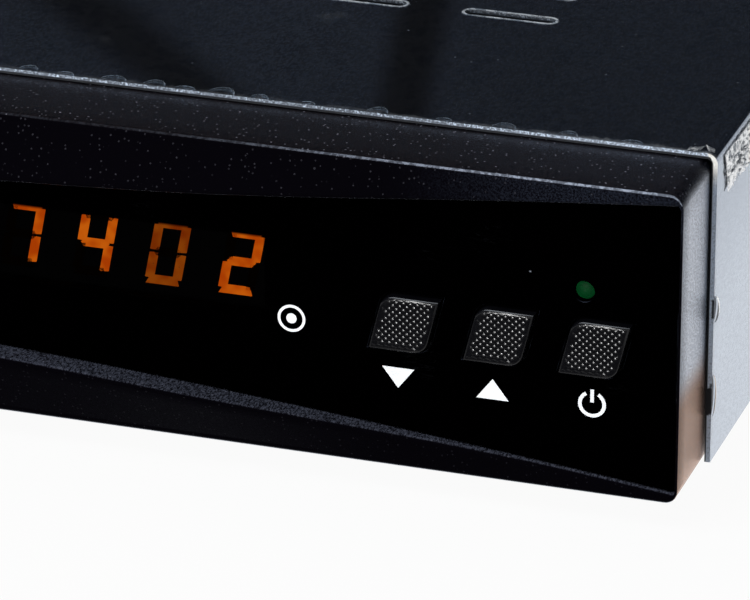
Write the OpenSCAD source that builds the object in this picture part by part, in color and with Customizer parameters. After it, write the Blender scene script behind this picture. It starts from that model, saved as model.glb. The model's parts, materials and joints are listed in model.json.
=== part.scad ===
// Satellite television receiver: a folded steel case behind a moulded front bezel.
// Every piece is drawn in millimetres from the bezel: x across, y back from the bezel's rim, z up
// from the bezel's bottom edge. The finished part stands on its feet, centred on the origin.

/* [Case] */
// Width of the bezel
body_w = 260; // [256:2:300]
// Height of the bezel
body_h = 45; // [44:1:60]
// Depth from the bezel's rim to the outside of the rear wall
body_d = 185; // [180:5:240]
// Height of the bezel above the ground
foot_h = 4; // [2:0.5:10]
// Thickness of the steel sheet
sheet = 0.8; // [0.6:0.1:1]
// Gap between the cover and what it wraps
cover_gap = 0.15; // [0.1:0.05:0.3]
// Distance from the bezel's rim to the cover's front edge
cover_front = 13.8; // [11:0.2:16]
// Height of the cover's lower edges over the bezel's bottom
cover_low = 0.6; // [0:0.1:2]
// Outer radius of the cover's bends
bend_r = 1.5; // [1.2:0.1:3]
// Thickness of the protective film on the cover
film_t = 0.1; // [0.05:0.05:0.2]
// Height of the blisters under the film's front edge
blister_h = 0.35; // [0.2:0.05:0.6]
// Radius of a blister
blister_r = 2.4; // [1.5:0.1:3]
// Blisters along the front edge
blisters = 10; // [4:1:14]
// Height of the tray's side and front flanges
flange_h = 12; // [11:1:16]

/* [Vents] */
// Length of a vent slot
slot_l = 13.5; // [8:0.5:18]
// Width of a vent slot
slot_w = 2.2; // [1.8:0.1:4]
// Distance between slots in a row
slot_pitch = 22.3; // [20:0.1:26]
// Distance between rows
row_pitch = 10; // [8:0.5:11]
// Distance from the bezel's rim to the first row
first_row = 55.3; // [40:0.1:60]
// Rows of slots on the top
top_rows = 7; // [1:1:8]
// Rows of slots on each side
side_rows = 2; // [1:1:2]
// Least distance from a slot's end to the cover's side
slot_side = 25; // [16:1:40]

/* [Bezel] */
// Depth of the bezel's side walls
bezel_d = 20; // [19:0.5:24]
// Thickness of the bezel's outer walls
wall = 2; // [1.6:0.1:2.4]
// Radius of the bezel's four corners
corner_r = 2; // [1:0.1:2.4]
// Rounding of the bezel's front edge
edge_r = 0.9; // [0.5:0.1:0.9]
// Height of the upper band at its ends
top_band_end = 1.4; // [1.2:0.1:3]
// Height of the upper band in the middle
top_band_mid = 9.9; // [6:0.1:11]
// Height of the lower band at its ends
low_band_end = 1.7; // [1.2:0.1:3]
// Height of the lower band in the middle
low_band_mid = 11.2; // [6:0.1:12]
// How far the bands bulge forward of the rim in the middle
bulge = 3.3; // [1:0.1:5]
// How far from its end a band starts to bulge
bulge_start = 15; // [5:1:30]
// How far from its end a band has bulged fully
bulge_full = 75; // [50:1:100]
// Width of the bezel beside the window
side_strip = 0.7; // [0.5:0.1:1.5]
// Wall behind the window
panel_t = 2; // [1.5:0.1:2.4]

/* [Window] */
// Distance from the rim back to the window's face
window_back = 0.4; // [0.2:0.1:0.8]
// Thickness of the window
window_t = 1.5; // [1:0.1:1.8]
// Gap around the window
window_gap = 0.15; // [0.1:0.05:0.3]

/* [Buttons] */
// Width of a button
button_w = 8.1; // [6:0.1:9]
// Height of a button
button_h = 8; // [6:0.1:9]
// Sideways lean of a button over its height
button_lean = 2; // [0:0.1:2.5]
// Radius of a button's two round corners
button_r = 2.2; // [1:0.1:2.5]
// Distance between buttons
button_pitch = 13.4; // [13:0.1:15]
// Distance from the bezel's end to the last button's centre
button_end = 11.7; // [11:0.1:13]
// Height of the buttons' centres
button_z = 21.6; // [20:0.1:23]
// How far a button stands out of the window
button_proud = 1.1; // [0.6:0.1:2]
// Gap around a button
button_gap = 0.35; // [0.2:0.05:0.5]
// Travel of a button
button_travel = 0.4; // [0.2:0.05:0.5]

/* [Display] */
// Height of a digit
digit_h = 9.8; // [8:0.1:11]
// Width of a digit
digit_w = 5.3; // [4:0.1:6.5]
// Distance between digits
digit_pitch = 10.7; // [9.5:0.1:11]
// Width of a segment
segment_w = 1.3; // [0.8:0.1:1.5]
// Lean of the digits
digit_lean = 11; // [0:1:14]
// Distance from the bezel's end to the display's centre
display_end = 79.5; // [76:0.1:84]
// Height of the display's centre
display_z = 25.5; // [23:0.1:26]
// Distance from the rim back to the display's face
display_back = 4.6; // [4.4:0.1:5.5]
// Distance from the bezel's end to the status lamp
lamp_end = 13.5; // [13:0.1:16]
// Height of the status lamp
lamp_z = 29.5; // [28:0.1:30]
// Radius of the status lamp
lamp_r = 1.4; // [1:0.1:1.6]
// How far the lamp lies behind the window's face
lamp_back = 0.5; // [0.2:0.1:0.8]
// Gap between the remote-control receiver and the display
receiver_gap = 11; // [8:1:14]

/* [Boards] */
// Thickness of every board
board_t = 1.6; // [1:0.1:2]
// Height of the boards over the tray's floor
standoff_h = 5; // [4:0.5:7]
// Distance from the rim back to the front board
front_board_y = 12.5; // [12:0.1:14]
// Height of the front board
front_board_h = 25; // [25:0.5:27]
// Width of the main board
main_w = 148; // [134:1:162]
// Depth of the main board
main_d = 112; // [105:1:125]
// Width of the power board
power_w = 70; // [63:1:77]
// Depth of the power board
power_d = 126; // [113:1:134]
// Gap between a board and the tray's side flange
board_side = 6; // [4:0.5:8]
// Gap from a board's edge to the parts on it
board_edge = 4; // [3:0.5:5]
// Gap from front to rear between the power board's parts
part_gap = 4; // [2:0.5:5]

/* [Rear connectors] */
// Radius of the aerial connectors' threaded barrels
thread_r = 4.7; // [4:0.1:5]
// Length of the barrels behind the rear wall
thread_l = 12; // [8:0.5:15]
// Outer radius of a phono jack's metal shell
shell_r = 4.15; // [4:0.05:4.3]
// Length of a phono jack behind the rear wall
jack_l = 9; // [7:0.5:10]
// Distance between phono jacks
jack_pitch = 14; // [13:0.5:15]
// Width of the rocker switch's body
rocker_w = 13.8; // [13.5:0.1:15]
// Height of the rocker switch's body
rocker_h = 19; // [18.5:0.1:20]
// Turn of the rocker from on to off
rocker_turn = 14; // [8:1:15]
// Distance between the mains pins
pin_pitch = 8.6; // [8.4:0.1:9]

/* [Parts on the boards] */
// Distance from the main board's front edge to the processor's centre
chip_in = 42; // [38:1:50]
// Width of the processor
chip_w = 24; // [16:1:28]
// Thickness of the processor
chip_t = 1.8; // [1:0.1:3]
// Width of the processor's heat sink
sink_w = 30; // [24:1:36]
// Height of the processor's heat sink
sink_h = 10; // [6:1:16]
// Gap from the heat sink to the memory chips and to the capacitors
sink_gap = 12; // [8:1:14]
// Width of a memory chip
memory_w = 12; // [9:1:13]
// Depth of a memory chip
memory_d = 10; // [8:1:12]
// Distance between the memory chips
memory_pitch = 17; // [14:1:20]
// Thickness of a memory chip
memory_t = 1.1; // [0.8:0.1:1.5]
// Width of the tuner can
tuner_w = 38; // [36:1:42]
// Depth of the tuner can
tuner_d = 38; // [30:1:42]
// Height of the tuner can
tuner_h = 15; // [14:1:18]
// Distance between the aerial connectors
aerial_pitch = 19; // [17:1:22]
// Radius of the bulk capacitor
bulk_r = 9; // [7:0.5:10]
// Height of the bulk capacitor
bulk_h = 27; // [18:1:30]
// Radius of the small capacitors
small_r = 4.3; // [3:0.1:5]
// Height of the small capacitors
small_h = 14; // [8:1:20]
// Width of the transformer
trafo_w = 24; // [20:1:26]
// Depth of the transformer's winding
trafo_d = 20; // [16:1:22]
// Height of the transformer
trafo_h = 20; // [16:1:26]
// Thickness of the transformer's core
core_t = 10; // [8:1:12]
// Width of the core's legs
core_leg = 4; // [3:0.5:5]
// Outer radius of the line choke
choke_r = 9; // [7:0.5:10]
// Depth of the line choke
choke_d = 10; // [8:1:12]
// Length of the transistor's heat sink
fin_l = 30; // [24:1:34]
// Height of the transistor's heat sink
fin_h = 24; // [18:1:28]
// Length of the fuse
fuse_l = 20; // [18:1:24]
// Radius of the fuse's caps
fuse_r = 2.6; // [2:0.1:3]
// Height of a cable plug
plug_h = 6; // [5:0.5:8]
// Width of the power harness
harness_w = 12; // [10:1:14]
// Width of the ribbon cable
ribbon_w = 18; // [14:1:24]
// Distance from the main board's right edge to the ribbon's middle
ribbon_side = 60; // [50:1:68]
// Distance from the main board's front edge to the ribbon's plug
ribbon_in = 8; // [6:1:10]
// Height of the ribbon's plug over the front board's lower edge
ribbon_rise = 6; // [5:1:8]
// Distance from the boards' edges to the power harness's plugs
harness_in = 4; // [3:0.5:5]

/* [Hidden] */
$fn = 48;
cut = 1;                       // how far a cutting shape runs past what it cuts
seat = 0.3;                    // gap between a moving piece and what it comes close to

// Places that the rest is worked out from
half_w = body_w/2;
rim_y = (bulge - body_d - thread_l)/2;
floor_z = 0.2;
floor_top = floor_z + sheet;
tray_half = half_w - cover_gap;
tray_front = bezel_d + seat;
rear_in = body_d - sheet;
board_z = floor_top + standoff_h;
board_top = board_z + board_t;
board_rear = rear_in - 1.2;
main_x1 = tray_half - sheet - board_side;
main_x0 = main_x1 - main_w;
power_x0 = -main_x1;
power_x1 = power_x0 + power_w;

// Bezel and window
panel_front = window_back + window_t;
panel_back = panel_front + panel_t;
opening_half = half_w - side_strip;
stations = 52;                 // sections along the bezel's curved bands
band_power = 1.5;              // how the bands' height falls towards the ends
bulge_end = 0.1;               // how far the bands stand forward at their very ends
boss_r = 3;
boss_x = half_w - 12;
boss_z = 4.8;
pilot_r = 1.25;
screw_r = 1.2;
head_r = 2.6;
head_t = 1.6;

// Buttons, from left to right, and what they press
button_x = [for (i = [2:-1:0]) half_w - button_end - i*button_pitch];
lip = 1;                       // how far a button's flange is wider than its cap
lip_t = 1.2;
switch_size = 6;
switch_h = 3.5;
plunger_r = 1.75;
plunger_gap = 0.1;
plunger_end = front_board_y - switch_h - 0.8;
stem_r = 1.8;

// Display and front board
display_x = half_w - display_end;
display_w = 4*digit_pitch;
display_h = digit_h + 3.2;
segment_t = 0.15;
lamp_x = half_w - lamp_end;
front_x1 = half_w - 6;
receiver_half = 3;
receiver_x = display_x - display_w/2 - receiver_gap - receiver_half;
front_x0 = receiver_x - receiver_half - 6;
front_board_z = 10;
front_holes = [for (x = [front_x0 + 4, front_x1 - 4], z = [3, front_board_h - 3]) [x, front_board_z + z]];

// Rear wall, from left to right as seen from the front
rocker_flange = 1.6;
rocker_rim = 1;
rocker_body = 15;
pivot_r = 1.2;
pivot_gap = 0.06;
pivot_y = body_d - 1;
inlet_w = 22;
inlet_h = 11.5;
inlet_d = 12;
inlet_flange = 1.5;
inlet_rim = 1.5;
inlet_r = 4.1;
mains_pin_r = 1.2;
mains_gap = (power_w - rocker_w - 2*rocker_rim - inlet_w - 2*inlet_rim)/3;
rocker_x = power_x0 + mains_gap + rocker_rim + rocker_w/2;
rocker_z = body_h/2 + 1;
inlet_x = rocker_x + rocker_w/2 + rocker_rim + mains_gap + inlet_rim + inlet_w/2;
inlet_z = board_top + 7;
usb_w = 13.2;
usb_h = 5.9;
hdmi_w = 15;
hdmi_h = 5.6;
jack_block = 13;
jack_z = board_top + 8.5;
row_gap = (main_w - 2*board_edge - usb_w - hdmi_w - jack_block - 3*jack_pitch - tuner_w)/3;
usb_x = main_x0 + board_edge + usb_w/2;
hdmi_x = usb_x + usb_w/2 + row_gap + hdmi_w/2;
jack_x = [for (i = [0:3]) hdmi_x + hdmi_w/2 + row_gap + jack_block/2 + i*jack_pitch];
insert_r = shell_r - 0.45;
jack_hole_r = 1.7;
tuner_x1 = main_x1 - board_edge;
tuner_can_y = board_rear - tuner_d;
aerial_x = [for (s = [1, -1]) tuner_x1 - tuner_w/2 + s*aerial_pitch/2];
aerial_z = board_top + tuner_h/2;
nut_r = 6.3;
nut_t = 2;

// Feet, screws and vents
foot_r = 8;
foot_x = half_w - 28;
foot_y = [38, body_d - 24];
peg_r = 2;
cover_screw_y = [48, body_d - 18];
cover_screw_z = 6.5;
cover_head_t = 1.2;
slots_across = floor((half_w - slot_side - slot_l/2)/slot_pitch);

// Screw places of the two boards that lie flat, as [x, y]
hole_inset = 4;
main_holes = [for (x = [main_x0 + hole_inset, main_x1 - hole_inset],
                   y = [board_rear - main_d + hole_inset, board_rear - 46]) [x, y]];
power_holes = [for (x = [power_x0 + hole_inset, power_x1 - hole_inset],
                    y = [board_rear - power_d + hole_inset, board_rear - 34]) [x, y]];
board_holes = concat(main_holes, power_holes);

// ---- helpers -------------------------------------------------------------------------------

// Everything is drawn from the bezel's rim and bottom edge, and put on the ground here.
module placed() translate([0, rim_y, foot_h]) children();

// A flat shape drawn in x and z, from y0 back to y1
module along_y(y0, y1) translate([0, y1, 0]) rotate([90, 0, 0]) linear_extrude(y1 - y0) children();

// A flat shape drawn in y and z, from x0 to x1
module along_x(x0, x1) translate([x0, 0, 0]) rotate([90, 0, 90]) linear_extrude(x1 - x0) children();

// A box from one corner to the other
module block(low, high) translate(low) cube(high - low);

// A rod along y
module rod_y(x, z, r, y0, y1) translate([x, y1, z]) rotate([90, 0, 0]) cylinder(r = r, h = y1 - y0);

// A rod along z
module rod_z(x, y, r, z0, z1) translate([x, y, z0]) cylinder(r = r, h = z1 - z0);

// A rod along x
module rod_x(y, z, r, x0, x1) translate([x0, y, z]) rotate([0, 90, 0]) cylinder(r = r, h = x1 - x0);

// A rectangle round the origin's height line, with four round corners
module round_rect(w, h, r) {
    translate([-w/2 + r, 0]) square([w - 2*r, h]);
    translate([-w/2, r]) square([w, h - 2*r]);
    for (x = [-w/2 + r, w/2 - r], y = [r, h - r]) translate([x, y]) circle(r);
}

// A slot with round ends, centred
module slot(l, w) {
    square([l - w, w], center = true);
    for (x = [-1, 1]) translate([x*(l - w)/2, 0]) circle(w/2, $fn = 24);
}

// A screw along z, its head's underside at the origin, its shank down
module screw(shank_l, r = screw_r, hr = head_r, ht = head_t) {
    translate([0, 0, -shank_l]) cylinder(r = r, h = shank_l);
    difference() {
        cylinder(r1 = hr, r2 = hr - ht/3, h = ht);
        translate([0, 0, ht/2]) for (a = [0, 90]) rotate(a) cube([2.6, 0.5, ht + cut], center = true);
    }
}

// A capacitor can standing on a board: a groove near the foot and a shallow dish in the top
module capacitor(r, h) {
    rotate_extrude() polygon([
        [0, 0], [r - 0.5, 0], [r, 0.5], [r, 2], [r - 0.5, 2.6], [r, 3.2],
        [r, h - 0.5], [r - 0.5, h], [r - 1.2, h], [r - 1.6, h - 0.4], [0, h - 0.4]]);
}

// ---- bezel's shape -------------------------------------------------------------------------

// Height of a band at x, which falls from the middle to the ends
function band(x, end, mid) = end + (mid - end)*(1 - pow(abs(x)/half_w, band_power));
function top_lip(x) = body_h - band(x, top_band_end, top_band_mid);
function low_lip(x) = band(x, low_band_end, low_band_mid);

// How far the bands stand forward at x, on a smooth ramp from the ends to the middle
function ramp(t) = t <= 0 ? 0 : t >= 1 ? 1 : t*t*(3 - 2*t);
function forward(x) =
    bulge_end + (bulge - bulge_end)*ramp((half_w - abs(x) - bulge_start)/(bulge_full - bulge_start));

// The window's outline, drawn smaller by a gap
function station(i, half) = half*(2*i/stations - 1);
function window_outline(gap) = concat(
    [for (i = [0:stations]) let (x = station(i, opening_half - gap)) [x, low_lip(x) + gap]],
    [for (i = [stations:-1:0]) let (x = station(i, opening_half - gap)) [x, top_lip(x) - gap]]);

// A wedge along one band, from the rim (at height `rim`) to past the lip. side is 1 above, -1 below
module band_wedge(side) {
    half = half_w - edge_r;
    rim = side > 0 ? body_h - edge_r : edge_r;
    points = [for (i = [0:stations])
        let (x = station(i, half),
             z = side > 0 ? top_lip(x) : low_lip(x),
             past = z - side*cut,
             y = -forward(x)*(rim - past)/(rim - z))
        each [[x, panel_front/2, rim], [x, 0, rim], [x, y, past], [x, panel_front/2, past]]];
    sides = [for (i = [0:stations - 1], k = [0:3])
        let (a = 4*i + k, b = 4*i + (k + 1)%4)
        each [[a, b, b + 4], [a, b + 4, a + 4]]];
    caps = [[3, 2, 1, 0], [for (k = [0:3]) 4*stations + k]];
    faces = concat(sides, caps);
    flipped = [for (f = faces) [for (k = [len(f) - 1:-1:0]) f[k]]];
    polyhedron(points, side > 0 ? flipped : faces);
}

// What rounds one straight edge of the rim: laid along x at the origin, it leaves a quarter round
module edge_cutter(l) {
    difference() {
        translate([-l/2, -cut, -cut]) cube([l, edge_r + cut, edge_r + cut]);
        translate([-l/2 - cut, edge_r, edge_r]) rotate([0, 90, 0]) cylinder(r = edge_r, h = l + 2*cut);
    }
}

// ---- button's shape ------------------------------------------------------------------------

function unit(v) = v/norm(v);
// Points round a corner p that comes from a and goes to b, with radius r
function corner(a, p, b, r) =
    let (u = unit(a - p), v = unit(b - p), half = acos(u*v)/2,
         c = p + unit(u + v)*r/sin(half), first = p + u*r/tan(half) - c, last = p + v*r/tan(half) - c,
         start = atan2(first[1], first[0]), turn = atan2(last[1], last[0]) - start,
         sweep = turn > 180 ? turn - 360 : turn < -180 ? turn + 360 : turn)
    [for (i = [0:6]) c + r*[cos(start + sweep*i/6), sin(start + sweep*i/6)]];
// A leaning square whose upper left and lower right corners are round, grown by g all round
function button_outline(g) =
    let (w = button_w/2 + g, h = button_h/2 + g, s = button_lean/2*h/(button_h/2),
         p = [[-w - s, -h], [w - s, -h], [w + s, h], [-w + s, h]])
    concat([p[0]], corner(p[0], p[1], p[2], button_r + g), [p[2]], corner(p[2], p[3], p[0], button_r + g));
module button_shape(g = 0) polygon(button_outline(g));

// ---- case ----------------------------------------------------------------------------------

// The section of the cover, grown by g beyond its inner face
module hood_section(g) {
    w = body_w + 2*(cover_gap + g);
    h = body_h + cover_gap + g;
    r = bend_r - sheet + g;
    translate([-w/2, cover_low]) square([w, h - r - cover_low]);
    translate([-w/2 + r, cover_low]) square([w - 2*r, h - cover_low]);
    for (x = [-1, 1]) translate([x*(w/2 - r), h - r]) circle(r);
}

// What is cut out of the section to leave a hood: the section grown by g, open below
module hood_inside(g) {
    w = body_w + 2*(cover_gap + g);
    hood_section(g);
    translate([-w/2, cover_low - cut]) square([w, 2*cut]);
}

module top_slots() {
    for (i = [-slots_across:slots_across], j = [0:top_rows - 1])
        translate([i*slot_pitch, first_row + j*row_pitch, body_h - cut])
            linear_extrude(3*cut + sheet) slot(slot_l, slot_w);
}

module side_slots() {
    count = floor((body_d - first_row - 40)/slot_pitch);
    for (s = [-1, 1], i = [0:count], j = [0:side_rows - 1])
        translate([s*half_w, first_row + i*slot_pitch, 20 + j*row_pitch])
            rotate([90, 0, 90]) translate([0, 0, -3*cut]) linear_extrude(6*cut) slot(slot_l, slot_w);
}

module cover_screw_holes(r) {
    for (y = cover_screw_y) rod_x(y, cover_screw_z, r, -half_w - 4*cut, half_w + 4*cut);
}

module top_cover() {
    color([0.04, 0.045, 0.05]) difference() {
        along_y(cover_front, body_d) hood_section(sheet);
        along_y(cover_front - cut, body_d + cut) hood_inside(0);
        top_slots();
        side_slots();
        cover_screw_holes(1.7);
    }
}

// Thin clear film laid on the sheet before it was punched, so its slots are the cover's
module protective_film() {
    top = body_h + cover_gap + sheet;
    cap_r = (blister_r*blister_r + blister_h*blister_h)/(2*blister_h);
    spacing = (body_w - 6*blister_r)/(blisters - 1);
    color([0.75, 0.8, 0.85, 0.3]) {
        difference() {
            along_y(cover_front, body_d) hood_section(sheet + film_t);
            along_y(cover_front - cut, body_d + cut) hood_inside(sheet);
            top_slots();
            side_slots();
            cover_screw_holes(head_r + 1.4);
        }
        intersection() {
            block([-half_w, cover_front, top + film_t/2], [half_w, body_d, top + film_t + cut]);
            for (i = [0:blisters - 1])
                translate([-half_w + 3*blister_r + i*spacing, cover_front + blister_r + 0.3, top + film_t + blister_h - cap_r])
                    sphere(cap_r);
        }
    }
}

module rear_cutouts() {
    y0 = rear_in - cut;
    y1 = body_d + cut;
    gap = 0.25;
    for (x = aerial_x) rod_y(x, aerial_z, thread_r + gap, y0, y1);
    for (x = jack_x) rod_y(x, jack_z, shell_r + gap, y0, y1);
    block([hdmi_x - hdmi_w/2 - gap, y0, board_top + gap], [hdmi_x + hdmi_w/2 + gap, y1, board_top + hdmi_h + 2*gap]);
    block([usb_x - usb_w/2 - gap, y0, board_top + gap], [usb_x + usb_w/2 + gap, y1, board_top + usb_h + 2*gap]);
    block([inlet_x - inlet_w/2 - gap, y0, inlet_z - inlet_h/2 - gap],
          [inlet_x + inlet_w/2 + gap, y1, inlet_z + inlet_h/2 + gap]);
    block([rocker_x - rocker_w/2 - gap, y0, rocker_z - rocker_h/2 - gap],
          [rocker_x + rocker_w/2 + gap, y1, rocker_z + rocker_h/2 + gap]);
}

module chassis_tray() {
    ear = 22;
    color([0.62, 0.64, 0.65]) difference() {
        union() {
            block([-tray_half, tray_front, floor_z], [tray_half, body_d, floor_top]);
            for (s = [-1, 1]) scale([s, 1, 1])
                block([tray_half - sheet, tray_front, floor_z], [tray_half, body_d, flange_h]);
            block([-tray_half, tray_front, floor_z], [tray_half, tray_front + sheet, flange_h]);
            for (s = [-1, 1]) scale([s, 1, 1])
                block([tray_half - ear, tray_front, floor_z], [tray_half, tray_front + sheet, body_h - 1]);
            block([-tray_half, rear_in, floor_z], [tray_half, body_d, body_h]);
            block([-tray_half + 4, body_d - 9, body_h - sheet], [tray_half - 4, body_d, body_h]);
        }
        rear_cutouts();
        for (x = [-boss_x, boss_x], z = [boss_z, body_h - boss_z])
            rod_y(x, z, 1.6, tray_front - cut, tray_front + sheet + cut);
        for (x = [-foot_x, foot_x], y = foot_y) rod_z(x, y, peg_r + 0.1, floor_z - cut, floor_top + cut);
        for (y = cover_screw_y) rod_x(y, cover_screw_z, pilot_r, -half_w - cut, half_w + cut);
    }
}

module cover_screws() {
    face = half_w + cover_gap + sheet;
    color([0.1, 0.1, 0.11]) for (s = [-1, 1], y = cover_screw_y)
        translate([s*face, y, cover_screw_z]) rotate([0, s*90, 0]) screw(4, screw_r, head_r, cover_head_t);
}

module feet() {
    color([0.05, 0.05, 0.05]) for (x = [-foot_x, foot_x], y = foot_y) translate([x, y, 0]) {
        rotate_extrude() polygon([
            [0, -foot_h], [foot_r - 1.4, -foot_h], [foot_r - 0.6, -foot_h + 0.6], [foot_r, floor_z - 0.4],
            [foot_r, floor_z], [0, floor_z]]);
        translate([0, 0, -1]) cylinder(r = peg_r, h = floor_top + 2.2);
    }
}

// ---- front ---------------------------------------------------------------------------------

module front_bezel() {
    color([0.06, 0.06, 0.07]) difference() {
        union() {
            difference() {
                along_y(0, bezel_d) round_rect(body_w, body_h, corner_r);
                translate([-half_w + wall, panel_back, wall])
                    cube([body_w - 2*wall, bezel_d, body_h - 2*wall]);
                edge_cutter(body_w + cut);
                translate([0, 0, body_h]) rotate([-90, 0, 0]) edge_cutter(body_w + cut);
                for (s = [-1, 1]) translate([s*half_w, 0, body_h/2]) rotate([0, -s*90, 0]) edge_cutter(body_h + cut);
            }
            band_wedge(1);
            band_wedge(-1);
            for (x = [-boss_x, boss_x], z = [boss_z, body_h - boss_z]) rod_y(x, z, boss_r, panel_back - 0.5, bezel_d);
            for (p = front_holes) rod_y(p[0], p[1], 2.5, panel_back - 0.5, front_board_y);
        }
        along_y(-bulge - 3*cut, panel_front) polygon(window_outline(0));
        for (x = button_x) translate([x, 0, button_z]) along_y(0, panel_back + cut) button_shape(button_gap);
        block([display_x - display_w/2 - 0.6, 0, display_z - display_h/2 - 0.6],
              [display_x + display_w/2 + 0.6, panel_back + cut, display_z + display_h/2 + 0.6]);
        rod_y(lamp_x, lamp_z, lamp_r + 0.2, 0, panel_back + cut);
        rod_y(receiver_x, display_z, 3, 0, panel_back + cut);
        for (x = [-boss_x, boss_x], z = [boss_z, body_h - boss_z])
            rod_y(x, z, pilot_r, bezel_d - 9, bezel_d + cut);
        for (p = front_holes) rod_y(p[0], p[1], 1, front_board_y - 6, front_board_y + cut);
    }
}

module front_window() {
    color([0.01, 0.01, 0.012]) difference() {
        along_y(window_back, panel_front) polygon(window_outline(window_gap));
        for (x = button_x) translate([x, 0, button_z]) along_y(0, panel_back + cut) button_shape(button_gap);
        rod_y(lamp_x, lamp_z, lamp_r + 0.1, 0, panel_back + cut);
    }
}

module button(i) {
    color([0.12, 0.12, 0.13]) translate([button_x[i], 0, button_z]) {
        along_y(window_back - button_proud, panel_back + seat + lip_t/2) button_shape();
        along_y(panel_back + seat, panel_back + seat + lip_t) button_shape(lip);
        rod_y(0, 0, stem_r, panel_back + seat, plunger_end);
    }
}

module plunger(i) {
    color([0.2, 0.2, 0.2]) rod_y(button_x[i], button_z, plunger_r, plunger_end, front_board_y - switch_h + 0.6);
}

module tact_switches() {
    half = switch_size/2;
    face = front_board_y - switch_h;
    color([0.25, 0.25, 0.26]) for (x = button_x) difference() {
        block([x - half, face, button_z - half], [x + half, front_board_y, button_z + half]);
        rod_y(x, button_z, plunger_r + plunger_gap, face - cut, face + 0.6 + button_travel + 0.3);
    }
}

module display_module() {
    color([0.08, 0.08, 0.08])
        block([display_x - display_w/2, display_back, display_z - display_h/2],
              [display_x + display_w/2, front_board_y, display_z + display_h/2]);
}

// One segment bar with pointed ends, lying along x or standing along z, in a digit's own flat
module bar(l) polygon([
    [-l/2, 0], [-l/2 + segment_w/2, segment_w/2], [l/2 - segment_w/2, segment_w/2],
    [l/2, 0], [l/2 - segment_w/2, -segment_w/2], [-l/2 + segment_w/2, -segment_w/2]]);

module digit() {
    across = digit_w - segment_w - 0.2;
    up = (digit_h - segment_w)/2 - 0.2;
    reach = (digit_w - segment_w)/2;
    multmatrix([[1, tan(digit_lean), 0, 0], [0, 1, 0, 0], [0, 0, 1, 0], [0, 0, 0, 1]]) {
        for (k = [-1, 0, 1]) translate([0, k*(digit_h - segment_w)/2]) bar(across);
        for (x = [-reach, reach], k = [-1, 1]) translate([x, k*(digit_h - segment_w)/4]) rotate(90) bar(up);
    }
}

module display_segments() {
    color([1, 0.4, 0.05]) for (i = [0:3])
        translate([display_x + (i - 1.5)*digit_pitch, 0, display_z])
            along_y(display_back - segment_t, display_back) digit();
}

module status_lamp() {
    neck = panel_back + 0.6;
    color([0.1, 0.55, 0.25]) {
        translate([lamp_x, neck, lamp_z]) rotate([90, 0, 0]) rotate_extrude() polygon(concat(
            [[0, 0], [lamp_r + 0.4, 0], [lamp_r + 0.4, 0.5], [lamp_r, 0.5]],
            [for (a = [0:10:90]) [lamp_r*cos(a), neck - window_back - lamp_back + 0.6*(sin(a) - 1)]]));
        for (s = [-0.8, 0.8]) block([lamp_x + s - 0.25, neck - 0.1, lamp_z - 0.25],
                                    [lamp_x + s + 0.25, front_board_y, lamp_z + 0.25]);
    }
}

module remote_receiver() {
    face = panel_back + 0.8;
    color([0.09, 0.08, 0.1]) {
        block([receiver_x - receiver_half, face + 1.5, display_z - receiver_half - 0.5],
              [receiver_x + receiver_half, front_board_y, display_z + receiver_half + 0.5]);
        intersection() {
            translate([receiver_x, face + 2.5, display_z]) sphere(2.5);
            block([receiver_x - 3, face, display_z - 3], [receiver_x + 3, face + 2, display_z + 3]);
        }
    }
}

module front_board() {
    color([0.55, 0.45, 0.2]) difference() {
        block([front_x0, front_board_y, front_board_z],
              [front_x1, front_board_y + board_t, front_board_z + front_board_h]);
        for (p = front_holes) rod_y(p[0], p[1], 1.4, front_board_y - cut, front_board_y + board_t + cut);
    }
}

module front_board_screws() {
    color([0.75, 0.75, 0.78]) for (p = front_holes)
        translate([p[0], front_board_y + board_t, p[1]]) rotate([-90, 0, 0]) screw(6, 0.95, 2.2, 1.3);
}

module bezel_screws() {
    color([0.75, 0.75, 0.78]) for (x = [-boss_x, boss_x], z = [boss_z, body_h - boss_z])
        translate([x, tray_front + sheet, z]) rotate([-90, 0, 0]) screw(8);
}

// ---- main board ----------------------------------------------------------------------------

module board_plate(x0, x1, depth, holes) {
    difference() {
        block([x0, board_rear - depth, board_z], [x1, board_rear, board_top]);
        for (p = holes) rod_z(p[0], p[1], 1.6, board_z - cut, board_top + cut);
    }
}

module main_board() color([0.1, 0.35, 0.18]) board_plate(main_x0, main_x1, main_d, main_holes);

chip_x = (main_x0 + main_x1)/2 + 6;
chip_y = board_rear - main_d + chip_in;

module processor() {
    color([0.07, 0.07, 0.08])
        block([chip_x - chip_w/2, chip_y - chip_w/2, board_top], [chip_x + chip_w/2, chip_y + chip_w/2, board_top + chip_t]);
}

module memory_chips() {
    x = chip_x - sink_w/2 - sink_gap;
    color([0.07, 0.07, 0.08]) for (y = [chip_y - memory_pitch/2, chip_y + memory_pitch/2])
        block([x - memory_w, y - memory_d/2, board_top], [x, y + memory_d/2, board_top + memory_t]);
}

module heat_sink() {
    base = board_top + chip_t;
    fins = 8;
    fin_t = 1.1;
    color([0.7, 0.72, 0.74]) {
        block([chip_x - sink_w/2, chip_y - sink_w/2, base], [chip_x + sink_w/2, chip_y + sink_w/2, base + 2]);
        for (i = [0:fins - 1]) let (x = chip_x - sink_w/2 + i*(sink_w - fin_t)/(fins - 1))
            block([x, chip_y - sink_w/2, base + 1], [x + fin_t, chip_y + sink_w/2, base + sink_h]);
    }
}

module board_capacitors() {
    color([0.1, 0.12, 0.3]) for (i = [0:3])
        translate([chip_x + sink_w/2 + sink_gap + 3*small_r*(i%2), chip_y + 3*small_r*(floor(i/2) - 1), board_top])
            capacitor(small_r, small_h);
}

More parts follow.
